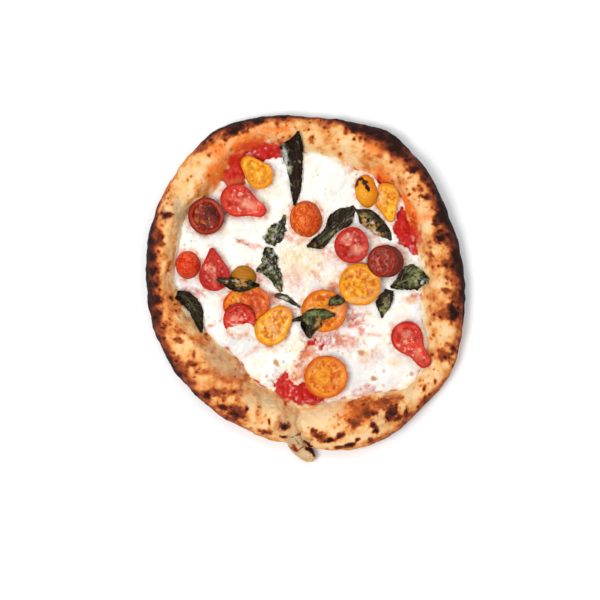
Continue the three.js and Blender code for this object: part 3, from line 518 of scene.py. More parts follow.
def dotted(x, y, spec, place_at):
    """Seeded round dots of many strengths that fade from their middle as exp(-(d / radius) squared)."""
    rng = np.random.default_rng(spec["seed"])
    total = np.zeros_like(x)
    for _ in range(spec["count"]):
        px, py = place_at(rng)
        radius = rng.uniform(*spec["radius"])
        total = np.maximum(total, rng.uniform(0.3, 1) * np.exp(-((x - px) ** 2 + (y - py) ** 2) / radius**2))
    return total


def draw_swells(spec, place_at):
    """Seeded round swells, each an x, y, radius and lift."""
    draw = seeded(spec["seed"])
    swells = []
    for _ in range(spec["count"]):
        x, y = place_at(next(draw), next(draw))
        radius = np.interp(next(draw), (0, 1), spec["radius"])
        lift = np.interp(next(draw), (0, 1), spec["lift"])
        swells.append((x, y, radius, lift))
    return swells


def lift_of(swells, x, y):
    """The sum of swells that fade from their middle as exp(-(d / radius) squared)."""
    total = np.zeros_like(x)
    for sx, sy, radius, lift in swells:
        total += lift * np.exp(-((x - sx) ** 2 + (y - sy) ** 2) / radius**2)
    return total


def on_rim(turn, across):
    """A place on the rim: a share of a turn round the disc and a share of the way across the rim."""
    degrees = 360 * turn
    inner, outer = around(RIM_INNER, degrees), around(RIM_OUTER, degrees)
    return polar(inner + (outer - inner) * across, degrees)


def inside_rim(turn, out):
    """A place within the rim: a share of a turn, and the root of a share of the way out, for even spread."""
    return polar(around(RIM_INNER, 360 * turn) * math.sqrt(out), 360 * turn)


BUBBLE_LIST = draw_swells(BUBBLES, lambda turn, across: on_rim(turn, 0.25 + 0.6 * across))
SWELL_LIST = LUMPS + draw_swells(SWELLS, inside_rim)


def bare_share(x, y):
    """How bare the sauce lies: 1 in bare places, 0 beyond their ragged edges, shreds where it is broken."""
    plan = flat(x, y)
    ragged = 0.3 * layered(plan, 9, 3, 61) + 0.12 * grain(plan, 2.2, 65)
    shreds = 0.3 + 0.9 * layered(plan, 4, 3, 67)
    return np.maximum(painted(x, y, BARE_SAUCE, ragged, 0.22), painted(x, y, BROKEN_SAUCE, shreds, 0.3))


def half_width(half, x):
    """Half the width at x along a half: an ellipse, or a bulb and a tip joined by sides with a neck."""
    length, width = half.size
    bulb = width / 2
    if not half.tip:
        return bulb * np.sqrt(np.maximum(0, 1 - (2 * x / length) ** 2))
    end = bulb * half.tip
    bulb_at, end_at = bulb - length / 2, length / 2 - end
    lean = math.asin((bulb - end) / (end_at - bulb_at))
    start, stop = bulb_at + bulb * math.sin(lean), end_at + end * math.sin(lean)
    drawn_in = half.neck * np.sin(np.pi * np.clip((x - start) / (stop - start), 0, 1)) ** 2
    side = bulb / math.cos(lean) - (x - bulb_at) * math.tan(lean) - drawn_in
    side = np.where(x < start, np.sqrt(np.maximum(0, bulb**2 - (x - bulb_at) ** 2)), side)
    return np.where(x > stop, np.sqrt(np.maximum(0, end**2 - (x - end_at) ** 2)), side)


def half_outline(half, sides):
    """Points of a half's outline in its own frame."""
    turn = np.arange(sides) * 2 * np.pi / sides
    x = half.size[0] / 2 * np.cos(turn)
    return x, np.sign(np.sin(turn)) * half_width(half, x)


def tomato_share(half, x, y):
    """Share of the way from the middle of a half's face to its outline in plan, 1 on the outline."""
    ox, oy = half_outline(half, OUTLINE_SIDES)
    along, across = turned(x, y, half.at, half.heading)
    along = along - CUT_DEPTH * half.size[1] * math.sin(math.radians(half.tilt[1]))
    across = across + CUT_DEPTH * half.size[1] * math.sin(math.radians(half.tilt[0]))
    edge = np.interp(np.arctan2(across, along), np.arctan2(oy, ox), np.hypot(ox, oy), period=2 * np.pi)
    return np.hypot(along, across) / edge


def tomato_top(half, x, y, share):
    """Height of a half at places in plan: half an ellipse for a skin, a tilted plane for a cut face."""
    width = half.size[1]
    if half.face is SKIN:
        return TOMATO_FOOT + SKIN_HEIGHT * width * np.sqrt(np.clip(1 - share**2, 0, 1))
    along, across = turned(x, y, half.at, half.heading)
    tilt_x, tilt_y = (math.sin(math.radians(t)) for t in half.tilt)
    return TOMATO_FOOT + CUT_DEPTH * width + across * tilt_x - along * tilt_y


def pool_edges(x, y):
    """Distance to the border of melted pools: the gap between the two nearest of some seeded middles."""
    rng = np.random.default_rng(POOLS["seed"])
    nearest = np.full((2,) + x.shape, 1e9)
    warp = 4 * np.stack([layered(flat(x, y), 14, 2, 171), layered(flat(x, y), 14, 2, 175)])
    for _ in range(POOLS["count"]):
        px, py = inside_rim(rng.uniform(), rng.uniform())
        away = np.hypot(x + warp[0] - px, y + warp[1] - py)
        nearest[1] = np.minimum(nearest[1], np.maximum(nearest[0], away))
        nearest[0] = np.minimum(nearest[0], away)
    return nearest[1] - nearest[0]


def curd_height(plan):
    """Curds in the mozzarella: small swellings with thin creases where a layered grain is 0."""
    return np.abs(layered(plan, 4.5, 3, 75))


def cheese_level(x, y):
    """Height of the mozzarella: pools with soft borders, sunk at bare sauce and drawn up round tomatoes."""
    plan = flat(x, y)
    level = CHEESE_TOP + lift_of(SWELL_LIST, x, y)
    inset = np.hypot(x, y) - around(RIM_INNER, np.degrees(np.arctan2(y, x)))
    level += 1.3 * layered(plan, 10, 3, 77) * ease(-14, -3, inset) - 2.4 * ease(-2, 3, inset)
    depth = POOLS["depth"] * (0.45 + 0.55 * grain(plan, 30, 69))
    level += depth * (ease(0, POOLS["valley"], pool_edges(x, y)) - 0.7)
    level += 0.8 * layered(plan, 12, 4, 71)
    curd = 0.35 + 0.65 * painted(x, y, CREAM_STAINS, 0.3 * layered(plan, 8, 2, 73))
    level += 0.9 * curd * np.minimum(curd_height(plan), 0.6)
    for half in TOMATOES.values():
        beyond = (tomato_share(half, x, y) - 1) * min(half.size) / 2
        level += 1.2 * np.exp(-((beyond / 2.2) ** 2)) * (0.5 + 0.7 * grain(plan, 7, 79))
    return level - BARE_SINK * bare_share(x, y)


def sauce_level(x, y):
    """Height of the sauce: folded grain, low under the mozzarella and lumpy as crushed tomato where bare."""
    plan = flat(x, y)
    lumps = np.abs(layered(plan, 9, 2, 81)) + 0.6 * np.abs(grain(plan, 4, 87)) + 0.25 * grain(plan, 2.5, 85)
    return SAUCE_TOP + 0.2 + lumps * (0.3 + 0.9 * bare_share(x, y))


def crust_level(x, y):
    """Height of the rough rim's inner slope: a quarter cosine to the power 0.9, from crest down to foot."""
    degrees = np.degrees(np.arctan2(y, x))
    radius = np.hypot(x, y)
    outer, inner, height = (around(v, degrees) for v in (RIM_OUTER, RIM_INNER, RIM_HEIGHT))
    crest = outer - CREST_SHARE * (outer - inner)
    share = np.clip((crest - radius) / (crest - inner), 0, 1)
    swell = height - BASE_TOP + lift_of(BUBBLE_LIST, x, y)
    return BASE_TOP + RIM_ROUGHNESS + np.cos(np.pi / 2 * share) ** 0.9 * swell


def support_level(x, y):
    """The highest level of rim, mozzarella, sauce and tomato halves at places in plan."""
    level = np.maximum(np.maximum(cheese_level(x, y), sauce_level(x, y)), crust_level(x, y))
    for half in TOMATOES.values():
        share = tomato_share(half, x, y)
        level = np.where(share < 1, np.maximum(level, tomato_top(half, x, y, share)), level)
    return level


def grid_faces(rows, columns):
    """Quads of a grid of points, row by row."""
    row, column = np.meshgrid(np.arange(rows - 1), np.arange(columns - 1), indexing="ij")
    a = (row * columns + column).ravel()
    return np.stack([a, a + columns, a + columns + 1, a + 1], -1)


def grid_edge(rows, columns):
    """Indices round the edge of a grid of points, each once."""
    return np.concatenate([
        np.arange(rows - 1) * columns,
        (rows - 1) * columns + np.arange(columns - 1),
        np.arange(rows - 1, 0, -1) * columns + columns - 1,
        np.arange(columns - 1, 0, -1),
    ])


def stack_faces(rows, sides):
    """Quads between rings that close on themselves, and fans to the two poles that follow the rings."""
    row, side = np.meshgrid(np.arange(rows - 1), np.arange(sides), indexing="ij")
    here, after = row * sides + side, row * sides + (side + 1) % sides
    quads = np.stack([here, after, after + sides, here + sides], -1).reshape(-1, 4)
    side = np.arange(sides)
    after = (side + 1) % sides
    low, last = rows * sides, (rows - 1) * sides
    fans = np.concatenate([
        np.stack([np.full(sides, low), after, side], -1),
        np.stack([np.full(sides, low + 1), last + side, last + after], -1),
    ])
    return quads, fans


def disc_grid(count):
    """A square grid bent to the unit disc, ring of the square to ring of the disc: radius and angle."""
    side = np.linspace(-1, 1, count)
    a, b = np.meshgrid(side, side, indexing="ij")
    radius = np.maximum(np.abs(a), np.abs(b))
    wide = np.abs(a) >= np.abs(b)
    safe_a, safe_b = np.where(a == 0, 1e-9, a), np.where(b == 0, 1e-9, b)
    angle = np.where(wide, np.pi / 4 * b / safe_a, np.pi / 2 - np.pi / 4 * a / safe_b)
    angle = np.where(np.where(wide, a < 0, b < 0), angle + np.pi, angle)
    return radius, np.degrees(angle)


def layer_mesh(count, reach_at, level_at, bottom):
    """A closed slab over a disc grid: a height at each place, a wall round the edge and a fan below."""
    share, degrees = disc_grid(count)
    x, y = polar(share * reach_at(degrees), degrees)
    z = np.maximum(level_at(x, y), bottom + 0.05)
    top = np.stack([x, y, z], -1).reshape(-1, 3)
    edge = grid_edge(count, count)
    below = top[edge] * np.array([1, 1, 0]) + np.array([0, 0, bottom])
    points = np.concatenate([top, below, [[0, 0, bottom]]])
    ring = len(top) + np.arange(len(edge))
    after = np.roll(np.arange(len(edge)), -1)
    wall = np.stack([edge, ring, ring[after], edge[after]], -1)
    fan = np.stack([np.full(len(edge), len(points) - 1), ring[after], ring], -1)
    return points, np.concatenate([grid_faces(count, count), wall]), fan


def normals_of(grid):
    """Unit normals of a ring stack, from the cross product of its two directions."""
    along = np.gradient(grid, axis=0)
    round_about = np.roll(grid, -1, axis=1) - np.roll(grid, 1, axis=1)
    normal = np.cross(round_about, along)
    return normal / np.maximum(np.linalg.norm(normal, axis=-1, keepdims=True), 1e-9)


def new_piece(name, points, quads, tris, fields, material, node):
    """Puts points in millimetres and faces into a mesh with fields as attributes, in place of a solid."""
    mesh = bpy.data.meshes.new(name)
    faces = quads.tolist() + (tris.tolist() if tris is not None else [])
    mesh.from_pydata(((points + DISC_CENTRE) * MM).tolist(), [], faces)
    for key, values in fields.items():
        if values.ndim == 2:
            attribute = mesh.color_attributes.new(key, "FLOAT_COLOR", "POINT")
            rgba = np.concatenate([values, np.ones((len(values), 1))], 1)
            attribute.data.foreach_set("color", rgba.astype(np.float32).ravel())
        else:
            attribute = mesh.attributes.new(key, "FLOAT", "POINT")
            attribute.data.foreach_set("value", values.astype(np.float32))
    mesh.shade_smooth()
    mesh.materials.append(material)
    piece = bpy.data.objects.new(name, mesh)
    bpy.context.scene.collection.objects.link(piece)
    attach(piece, "root")
    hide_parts(node)


def blend_to(base, colour, share):
    """Colours mixed towards another colour by a share at each point."""
    share = np.clip(share, 0, 1)[..., None]
    return base * (1 - share) + np.asarray(colour) * share


class Shader:
    """A material's node tree, with a short way to add nodes and join sockets."""

    def __init__(self, name):
        """Starts a material with its principled surface."""
        self.material = bpy.data.materials.new(name)
        self.material.use_nodes = True
        self.nodes = self.material.node_tree.nodes
        self.links = self.material.node_tree.links
        self.surface = self.nodes["Principled BSDF"]

    def set(self, socket, value):
        """Gives a socket a value, or joins another socket to it."""
        if isinstance(value, bpy.types.NodeSocket):
            self.links.new(value, socket)
        else:
            socket.default_value = value

    def add(self, kind, settings=None, **inputs):
        """Adds a node with its settings and inputs."""
        node = self.nodes.new(kind)
        for key, value in (settings or {}).items():
            setattr(node, key, value)
        for key, value in inputs.items():
            self.set(node.inputs[key.replace("_", " ")], value)
        return node

    def math(self, operation, a, b):
        """The sum, difference or product of two values."""
        node = self.add("ShaderNodeMath", {"operation": operation})
        self.set(node.inputs[0], a)
        self.set(node.inputs[1], b)
        return node.outputs[0]

    def mix(self, share, a, b):
        """Colour a mixed towards colour b by a share."""
        node = self.add("ShaderNodeMix", {"data_type": "RGBA"})
        self.set(node.inputs["Factor"], share)
        self.set(node.inputs[6], a)
        self.set(node.inputs[7], b)
        return node.outputs[2]

    def noise(self, scale, detail, rough):
        """Layered noise in the object's own metres."""
        place = self.add("ShaderNodeTexCoord").outputs["Object"]
        node = self.add("ShaderNodeTexNoise", Scale=scale, Detail=detail, Roughness=rough, Vector=place)
        return node.outputs["Fac"]

    def attribute(self, name, output="Fac"):
        """A field of the mesh."""
        return self.add("ShaderNodeAttribute", {"attribute_name": name}).outputs[output]

    def ramp(self, value, stops):
        """A value's colour between stops, each a position and a colour."""
        node = self.add("ShaderNodeValToRGB", Fac=value)
        while len(node.color_ramp.elements) < len(stops):
            node.color_ramp.elements.new(1.0)
        for element, (position, colour) in zip(node.color_ramp.elements, stops):
            element.position = position
            element.color = (*colour, 1)
        return node.outputs["Color"]

    def bump(self, height, distance):
        """A normal bent by a height, scaled by a distance in metres."""
        return self.add("ShaderNodeBump", Strength=1.0, Distance=distance, Height=height).outputs["Normal"]

    def finish(self, **sockets):
        """Sets sockets of the surface and gives the material."""
        for key, value in sockets.items():
            self.set(self.surface.inputs[key.replace("_", " ")], value)
        return self.material


def colour_setting(name, description, default):
    """A colour in a group of settings."""
    return bpy.props.FloatVectorProperty(
        name=name, description=description, default=default, subtype="COLOR", size=3, min=0, max=1
    )


def number_setting(name, description, default, low, high):
    """A number in a group of settings."""
    return bpy.props.FloatProperty(name=name, description=description, default=default, min=low, max=high)


class PizzaCrustSettings(bpy.types.PropertyGroup):
    pale: colour_setting("Pale dough", "Dough that hardly took colour", (0.84, 0.59, 0.33))
    golden: colour_setting("Golden dough", "Dough baked golden", (0.83, 0.48, 0.19))
    amber: colour_setting("Amber dough", "Deeper, orange baking", (0.71, 0.25, 0.058))
    toasted: colour_setting("Toasted dough", "Red-brown toasting", (0.40, 0.078, 0.020))
    brown: colour_setting("Brown dough", "Dark brown blisters", (0.135, 0.024, 0.010))
    char: colour_setting("Char", "Burnt edge and blisters", (0.022, 0.006, 0.004))
    # Grey-tan of flour, also used as painted shade on the rim's left inner slopes.
    flour_and_shade: colour_setting("Floury dough", "Grey-tan floury slopes", (0.55, 0.39, 0.22))
    stain: colour_setting("Oil stain", "Dough stained by sauce and oil", (0.84, 0.18, 0.018))
    saucy: colour_setting("Saucy foot", "Dough that the sauce wets", (0.62, 0.022, 0.010))
    creamy: colour_setting("Creamy foot", "Dough that the mozzarella wets", (0.86, 0.74, 0.52))
    burning: number_setting("Burning", "How dark the char is", 1.0, 0, 2)
    relief: number_setting("Relief", "Height of the crust's fine unevenness in millimetres", 1.0, 0, 3)


class PizzaSauceSettings(bpy.types.PropertyGroup):
    red: colour_setting("Sauce", "Cooked tomato sauce", (0.58, 0.013, 0.008))
    bright: colour_setting("Bright sauce", "Lighter pulp in the sauce", (0.68, 0.026, 0.014))
    thin: colour_setting("Thin sauce", "Sauce that runs out on the dough", (0.72, 0.15, 0.045))
    # Colour of painted shade in the folds of the pulp.
    deep: colour_setting("Deep sauce", "Folds of the pulp", (0.34, 0.006, 0.006))
    # Also the colour of painted highlights on the sauce.
    milky: colour_setting("Milky sauce", "Flecks of whey on the sauce", (0.86, 0.44, 0.42))


class PizzaCheeseSettings(bpy.types.PropertyGroup):
    white: colour_setting("Mozzarella", "Melted mozzarella", (0.88, 0.87, 0.81))
    cream: colour_setting("Cream", "Warmer, fattier places", (0.80, 0.62, 0.35))
    # Bluish grey of thinner mozzarella, also used for painted shade.
    cool_and_shade: colour_setting("Whey", "Thinner, cooler places", (0.70, 0.71, 0.73))
    pink: colour_setting("Pink", "Mozzarella stained by sauce", (0.58, 0.15, 0.105))
    oily: colour_setting("Oily", "Mozzarella stained by orange oil", (0.68, 0.23, 0.085))
    streaky: colour_setting("Streaks", "Thin streaks of sauce on the mozzarella", (0.76, 0.17, 0.10))
    browned: colour_setting("Browned spots", "Toasted spots", (0.50, 0.19, 0.035))
    herb: colour_setting("Herb flecks", "Dark green flecks", (0.20, 0.16, 0.06))


class PizzaTomatoSettings(bpy.types.PropertyGroup):
    red: colour_setting("Red flesh", "Flesh of red tomatoes", (0.66, 0.040, 0.018))
    orange: colour_setting("Orange flesh", "Flesh of orange tomatoes", (0.74, 0.19, 0.007))
    yellow: colour_setting("Yellow flesh", "Flesh of yellow tomatoes", (0.82, 0.32, 0.012))
    dark: colour_setting("Dark flesh", "Flesh of dark tomatoes", (0.39, 0.026, 0.009))
    red_skin: colour_setting("Red skin", "Skin of red tomatoes", (0.50, 0.014, 0.010))
    orange_skin: colour_setting("Orange skin", "Skin of orange tomatoes", (0.66, 0.070, 0.006))
    yellow_skin: colour_setting("Yellow skin", "Skin of yellow tomatoes", (0.80, 0.24, 0.004))
    dark_skin: colour_setting("Dark skin", "Skin of dark tomatoes", (0.15, 0.014, 0.007))
    olive_skin: colour_setting("Olive skin", "Skin of the olive-gold tomato", (0.42, 0.135, 0.004))
    scorch: colour_setting("Scorch", "Burnt places on a skin", (0.030, 0.005, 0.003))
    core: colour_setting("Core", "Pale cores and seeds", (0.86, 0.48, 0.21))
    red_core: colour_setting("Red core", "Cores and seeds of red tomatoes", (0.86, 0.39, 0.25))
    dark_core: colour_setting("Dark core", "Seeds of dark tomatoes", (0.58, 0.15, 0.035))
    # Colour of painted wet highlights on cut faces.
    glint: colour_setting("Glints", "Wet, whitish glints on a cut face", (0.92, 0.74, 0.58))


class PizzaBasilSettings(bpy.types.PropertyGroup):
    dark: colour_setting("Dark blade", "Wilted, almost black blade", (0.022, 0.008, 0.005))
    green: colour_setting("Green blade", "Green of the blade", (0.062, 0.095, 0.026))
    # Also the colour of painted highlights on fold tops and on some blade marks.
    pale: colour_setting("Pale blade", "Veins and pale undersides", (0.30, 0.31, 0.12))
    tan: colour_setting("Tan blade", "Dried, tan parts", (0.52, 0.27, 0.07))
    # Colour of painted highlights on sharp folds and on torn specks.
    crest: colour_setting("Crests", "Grey-green light on sharp folds", (0.42, 0.43, 0.34))
    crumple: number_setting("Crumple", "Height of the blade's crumples in millimetres", 2.0, 0, 4)


class PizzaStageSettings(bpy.types.PropertyGroup):
    distance: bpy.props.FloatProperty(
        name="Camera height", description="Height of the camera over the floor",
        default=1.5, min=0.5, unit="LENGTH",
    )
    key: bpy.props.FloatProperty(
        name="Key light", description="Power of the main softbox", default=19.0, min=0, unit="POWER"
    )
    fill: number_setting("Fill light", "Strength of the light from all round", 0.24, 0, 5)
    floor: colour_setting("Floor", "Pale floor", (0.92, 0.92, 0.92))


def dough_material(settings):
    """Baked dough: a bake value from the crust's field and grain runs through a ramp from pale to char."""
    shader = Shader("baked_dough")
    mottle = shader.math("SUBTRACT", shader.noise(330, detail=5, rough=0.65), 0.5)
    grit = shader.math("SUBTRACT", shader.noise(1300, detail=3, rough=0.6), 0.5)
    wobble = shader.math("ADD", shader.math("MULTIPLY", mottle, 0.3), shader.math("MULTIPLY", grit, 0.18))
    bake = shader.math("ADD", shader.attribute("bake"), wobble)
    colours = (
        settings.pale, settings.golden, settings.amber, settings.toasted, settings.brown, settings.char,
    )
    colour = shader.ramp(bake, list(zip((0.02, 0.2, 0.38, 0.54, 0.7, 0.9), colours)))
    stain = shader.math("MULTIPLY", shader.attribute("stain"), shader.math("SUBTRACT", 1.25, bake))
    colour = shader.mix(stain, colour, (*settings.stain, 1))
    # Grey-tan flour, in places painted shade on the rim's inner slopes.
    colour = shader.mix(shader.attribute("flour_and_shade"), colour, (*settings.flour_and_shade, 1))
    colour = shader.mix(shader.attribute("smear"), colour, (*settings.saucy, 1))
    colour = shader.mix(shader.attribute("cream"), colour, (*settings.creamy, 1))
    pores = shader.math("MULTIPLY", shader.noise(1600, detail=2, rough=0.5), 0.4)
    height = shader.math("ADD", shader.noise(420, detail=6, rough=0.6), pores)
    return shader.finish(
        Base_Color=colour, Roughness=0.6, Normal=shader.bump(height, 0.0008), Specular_IOR_Level=0.08,
        Subsurface_Weight=0.1, Subsurface_Radius=(0.003, 0.0015, 0.0008), Subsurface_Scale=1.0,
    )


def tinted_material(name, vary, vary_scale, bump_scale, bump_depth, **sockets):
    """A surface coloured by its own tint field, with fine grain in the colour and the bump."""
    shader = Shader(name)
    share = shader.math("MULTIPLY", shader.noise(vary_scale, detail=4, rough=0.6), vary)
    colour = shader.mix(share, shader.attribute("tint", "Color"), (0, 0, 0, 1))
    normal = shader.bump(shader.noise(bump_scale, detail=4, rough=0.55), bump_depth)
    return shader.finish(Base_Color=colour, Normal=normal, **sockets)


def charred(bake, points, marks):
    """Burns a bake value: each mark lifts it to its own strength in a ragged ellipse with a faint halo."""
    x, y, _ = points.T
    ragged = 0.45 * layered(points, 3.6, 3, 49) + 0.2 * layered(points, 1.6, 2, 55)
    for bx, by, long, wide, heading, strength in marks:
        along, across = turned(x, y, (bx, by), heading)
        away = np.hypot(along / long, across / wide) + ragged
        bake = np.maximum(bake, bake + (strength - bake) * (1 - ease(0.35, 1.45, away)))
        bake = bake + 0.1 * (1 - ease(0.9, 2.2, away)) * (bake < 0.6)
    return bake


def crust_fields(points):
    """Bake, flour, stain, smear and cream on the crust, from its edges, marks, specks and grain, with some
    painted shade.
    """
    x, y, z = points.T
    degrees = np.degrees(np.arctan2(y, x))
    deep = around(RIM_OUTER, degrees) - np.hypot(x, y)
    foot = np.hypot(x, y) - around(RIM_INNER, degrees)
    ragged = layered(points, 8, 3, 41)
    bake = around(RIM_BAKE, degrees) + 0.12 * layered(points, 17, 2, 31) + 0.2 * layered(points, 5.5, 3, 35)
    bake = bake - 0.14 * painted(x, y, PALE_DOUGH, 0.3 * ragged)
    reach, dark = around(EDGE_REACH, degrees), around(EDGE_CHAR_AND_SHADE, degrees)
    # Towards the outer edge the bake rises to the edge's darkness: char, and on the right side painted
    # shade.
    edge = 1 - ease(0.15, 1.35, (deep + 2.6 * ragged) / reach)
    bake = bake + (dark * (0.94 + 0.2 * layered(points, 5, 2, 47)) - bake) * edge
    # A thin darker outline on the last 2 mm of dark edges: partly baked, partly painted shade along the
    # edge.
    bake = charred(bake + 0.35 * ease(0.45, 0.9, dark) * (1 - ease(0.4, 2.4, deep)), points, BURNS)
    bake = bake + 0.45 * dotted(x, y, SPECKS, lambda rng: on_rim(rng.uniform(), rng.beta(2, 1.4)))
    bake = np.where(z < 3, np.maximum(bake, 0.42), bake)
    fine = layered(points, 3, 3, 57)
    broken = 0.35 * ragged + 0.35 * fine
    # Grey-tan patches: flour, and on the left inner slopes painted shade.
    flour_and_shade = painted(x, y, FLOUR_AND_SHADE, broken, 0.5) * (1 - ease(0.45, 0.7, bake)) * (0.85 + 0.6 * fine)
    stain = painted(x, y, STAINED, broken, 0.5) * (1.05 + 0.5 * fine)
    bare = bare_share(x, y)
    dry = 1 - np.maximum(bare, stain)
    wet = painted(x, y, DOUGH_SAUCE, 0.25 * ragged + 0.25 * fine, 0.3)
    smear = 0.95 * np.maximum(wet, bare * (1 - ease(1, 7, foot + 3 * ragged + 4 * fine)))
    cream = (1 - ease(0, 4, foot + 4 * ragged)) * dry * (1 - 0.6 * flour_and_shade)
    return {"bake": bake, "flour_and_shade": flour_and_shade, "stain": stain, "smear": smear, "cream": cream}


def tongue_fields(points):
    """Bake and flour on the tongue: mottled, with burns, one also painted shade by the rim. Stain, smear and
    cream are none.
    """
    bake = charred(0.24 + 0.35 * layered(points, 5, 3, 53), points, TONGUE_BURNS)
    flour_and_shade = (0.75 + 0.5 * layered(points, 3, 2, 59)) * (1 - ease(0.45, 0.65, bake))
    none = np.zeros_like(bake)
    return {"bake": bake, "flour_and_shade": flour_and_shade, "stain": none, "smear": none, "cream": none}


def tongue_mesh():
    """The tongue of dough: an ellipsoid on a grid of latitudes and longitudes, roughened by grain."""
    sides, rows = 72, 40
    lift = np.radians(np.linspace(-90, 90, rows + 2)[1:-1])[:, None]
    turn = np.linspace(0, 2 * np.pi, sides, endpoint=False)[None, :]
    unit = np.stack([np.cos(lift) * np.cos(turn), np.cos(lift) * np.sin(turn), np.sin(lift) + 0 * turn], -1)
    points = np.concatenate([unit.reshape(-1, 3), [[0, 0, -1], [0, 0, 1]]])
    points = points * np.array(TONGUE["half"]) * (1 + 0.07 * layered(points * 8, 5, 2, 15))[:, None]
    x, y = turned(points[:, 0], points[:, 1], (0, 0), -TONGUE["heading"])
    z = np.maximum(points[:, 2] + TONGUE["level"], 0)
    quads, fans = stack_faces(rows, sides)
    return np.stack([x + TONGUE["x"], y + TONGUE["y"], z], -1), quads, fans


def crease_depth(x, y):
    """How deep the crease between two swellings is: a narrow and a wide groove that fade from its line."""
    nearest = np.full_like(x, 1e9)
    for (ax, ay), (bx, by) in zip(CREASE_LINE, CREASE_LINE[1:]):
        run_x, run_y = bx - ax, by - ay
        share = np.clip(((x - ax) * run_x + (y - ay) * run_y) / (run_x**2 + run_y**2), 0, 1)
        nearest = np.minimum(nearest, np.hypot(x - ax - share * run_x, y - ay - share * run_y))
    groove = CREASE["deep"] * np.exp(-((nearest / CREASE["narrow"]) ** 2))
    return groove + CREASE["shallow"] * np.exp(-((nearest / CREASE["wide"]) ** 2))


class PIZZA_OT_crust(bpy.types.Operator):
    """Builds the baked crust: the rim's section carried round the disc, with blisters, a crease and char"""

    bl_idname = "pizza.crust"
    bl_label = "Crust"

    def execute(self, context):
        settings = context.scene.pizza_crust
        sides, outer_rows, inner_rows = 840, 50, 44
        degrees = np.arange(sides) * 360 / sides
        outer, inner, height = (around(v, degrees) for v in (RIM_OUTER, RIM_INNER, RIM_HEIGHT))
        width = outer - inner
        crest = outer - CREST_SHARE * width
        climb = np.radians(np.linspace(-90, 90, outer_rows))[:, None]
        out, up = np.maximum(np.cos(climb), 0), np.sin(climb)
        reach = np.where(up < 0, FOOT_TUCK + (1 - FOOT_TUCK) * np.sqrt(out), out)
        share = np.where(up < 0, BELLY_SHARE * (1 + up), BELLY_SHARE + (1 - BELLY_SHARE) * up)
        slope = np.linspace(0, 1, inner_rows)[1:, None]
        floor = np.array([0.97, 0.9, 0.75, 0.5, 0.25])[:, None]
        radius = np.concatenate([
            crest + CREST_SHARE * width * reach, crest - slope * (crest - inner), floor * inner,
        ])
        x, y = polar(radius, degrees)
        puff = height + lift_of(BUBBLE_LIST, x, y)
        top, foot = len(climb), len(climb) + len(slope)
        level = np.concatenate([
            share * puff[:top],
            BASE_TOP + np.cos(np.pi / 2 * slope) ** 0.9 * (puff[top:foot] - BASE_TOP),
            np.full((len(floor), sides), BASE_TOP),
        ])
        grid = np.stack([x, y, level], -1)
        rough = layered(grid, 18, 2, 101) + 0.5 * layered(grid, 6, 3, 105)
        relief = settings.relief * rough * ease(0.5, 6, level)
        relief[foot:] = 0
        grid = grid + normals_of(grid) * relief[..., None]
        grid[..., 2] -= crease_depth(grid[..., 0], grid[..., 1]) * ease(8, 16, grid[..., 2])
        for half in TOMATOES.values():
            room = 1 - ease(1.02, 1.25, tomato_share(half, grid[..., 0], grid[..., 1]))
            bed = TOMATO_FOOT + (SKIN_BED if half.face is SKIN else CUT_DEPTH * half.size[1] - CUT_BED)
            grid[..., 2] += room * (np.minimum(grid[..., 2], bed) - grid[..., 2])
        grid[..., 2] = np.maximum(grid[..., 2], 0)
        points = np.concatenate([grid.reshape(-1, 3), [[0, 0, 0], [0, 0, BASE_TOP]]])
        quads, fans = stack_faces(len(radius), sides)
        tongue, tongue_quads, tongue_fans = tongue_mesh()
        quads = np.concatenate([quads, tongue_quads + len(points)])
        fans = np.concatenate([fans, tongue_fans + len(points)])
        rim, flap = crust_fields(points), tongue_fields(tongue)
        fields = {key: np.concatenate([rim[key], flap[key]]) for key in rim}
        points = np.concatenate([points, tongue])
        fields["bake"] = fields["bake"] * settings.burning
        new_piece("crust_baked", points, quads, fans, fields, dough_material(settings), "crust")
        return {"FINISHED"}


class PIZZA_OT_sauce(bpy.types.Operator):
    """Builds the tomato sauce: a height over a disc grid, lumpy where it lies bare"""

    bl_idname = "pizza.sauce"
    bl_label = "Sauce"

    def execute(self, context):
        settings = context.scene.pizza_sauce
        points, quads, fan = layer_mesh(
            SAUCE_GRID, lambda d: around(RIM_INNER, d) + SAUCE_TUCK, sauce_level, BASE_TOP + SAUCE_GAP
        )
        tint = np.tile(settings.red, (len(points), 1))
        x, y, _ = points.T
        inset = np.hypot(x, y) - around(RIM_INNER, np.degrees(np.arctan2(y, x)))
        pulp = layered(points, 5, 3, 121)
        tint = blend_to(tint, settings.bright, 0.2 + 0.8 * pulp)
        thin = painted(x, y, THIN_SAUCE, 0.5 * pulp, 0.5) * (0.85 + 0.5 * pulp)
        tint = blend_to(tint, settings.thin, np.maximum(thin, 0.15 * ease(-3, 3, inset + 3 * pulp)))
        # Painted shade: dark lines in the folds of the pulp.
        folds = 1 - ease(0.03, 0.25, np.abs(layered(points, 7, 3, 125)))
        tint = blend_to(tint, settings.deep, 0.6 * folds)
        # Pale flecks: whey, and painted highlights on the wet pulp.
        whey_and_glints = 0.15 + 0.85 * painted(x, y, WHEY_AND_GLINTS, 0.5 * pulp, 0.5)
        tint = blend_to(tint, settings.milky, 0.8 * whey_and_glints * ease(0.3, 0.75, layered(points, 2.6, 2, 129)))
        material = tinted_material(
            "tomato_sauce", vary=0.35, vary_scale=500, bump_scale=900, bump_depth=0.0004,
            Roughness=0.25, Specular_IOR_Level=0.1,
            Subsurface_Weight=0.05, Subsurface_Radius=(0.003, 0.0006, 0.0003), Subsurface_Scale=1.0,
        )
        new_piece("sauce_spread", points, quads, fan, {"tint": tint}, material, "sauce")
        return {"FINISHED"}


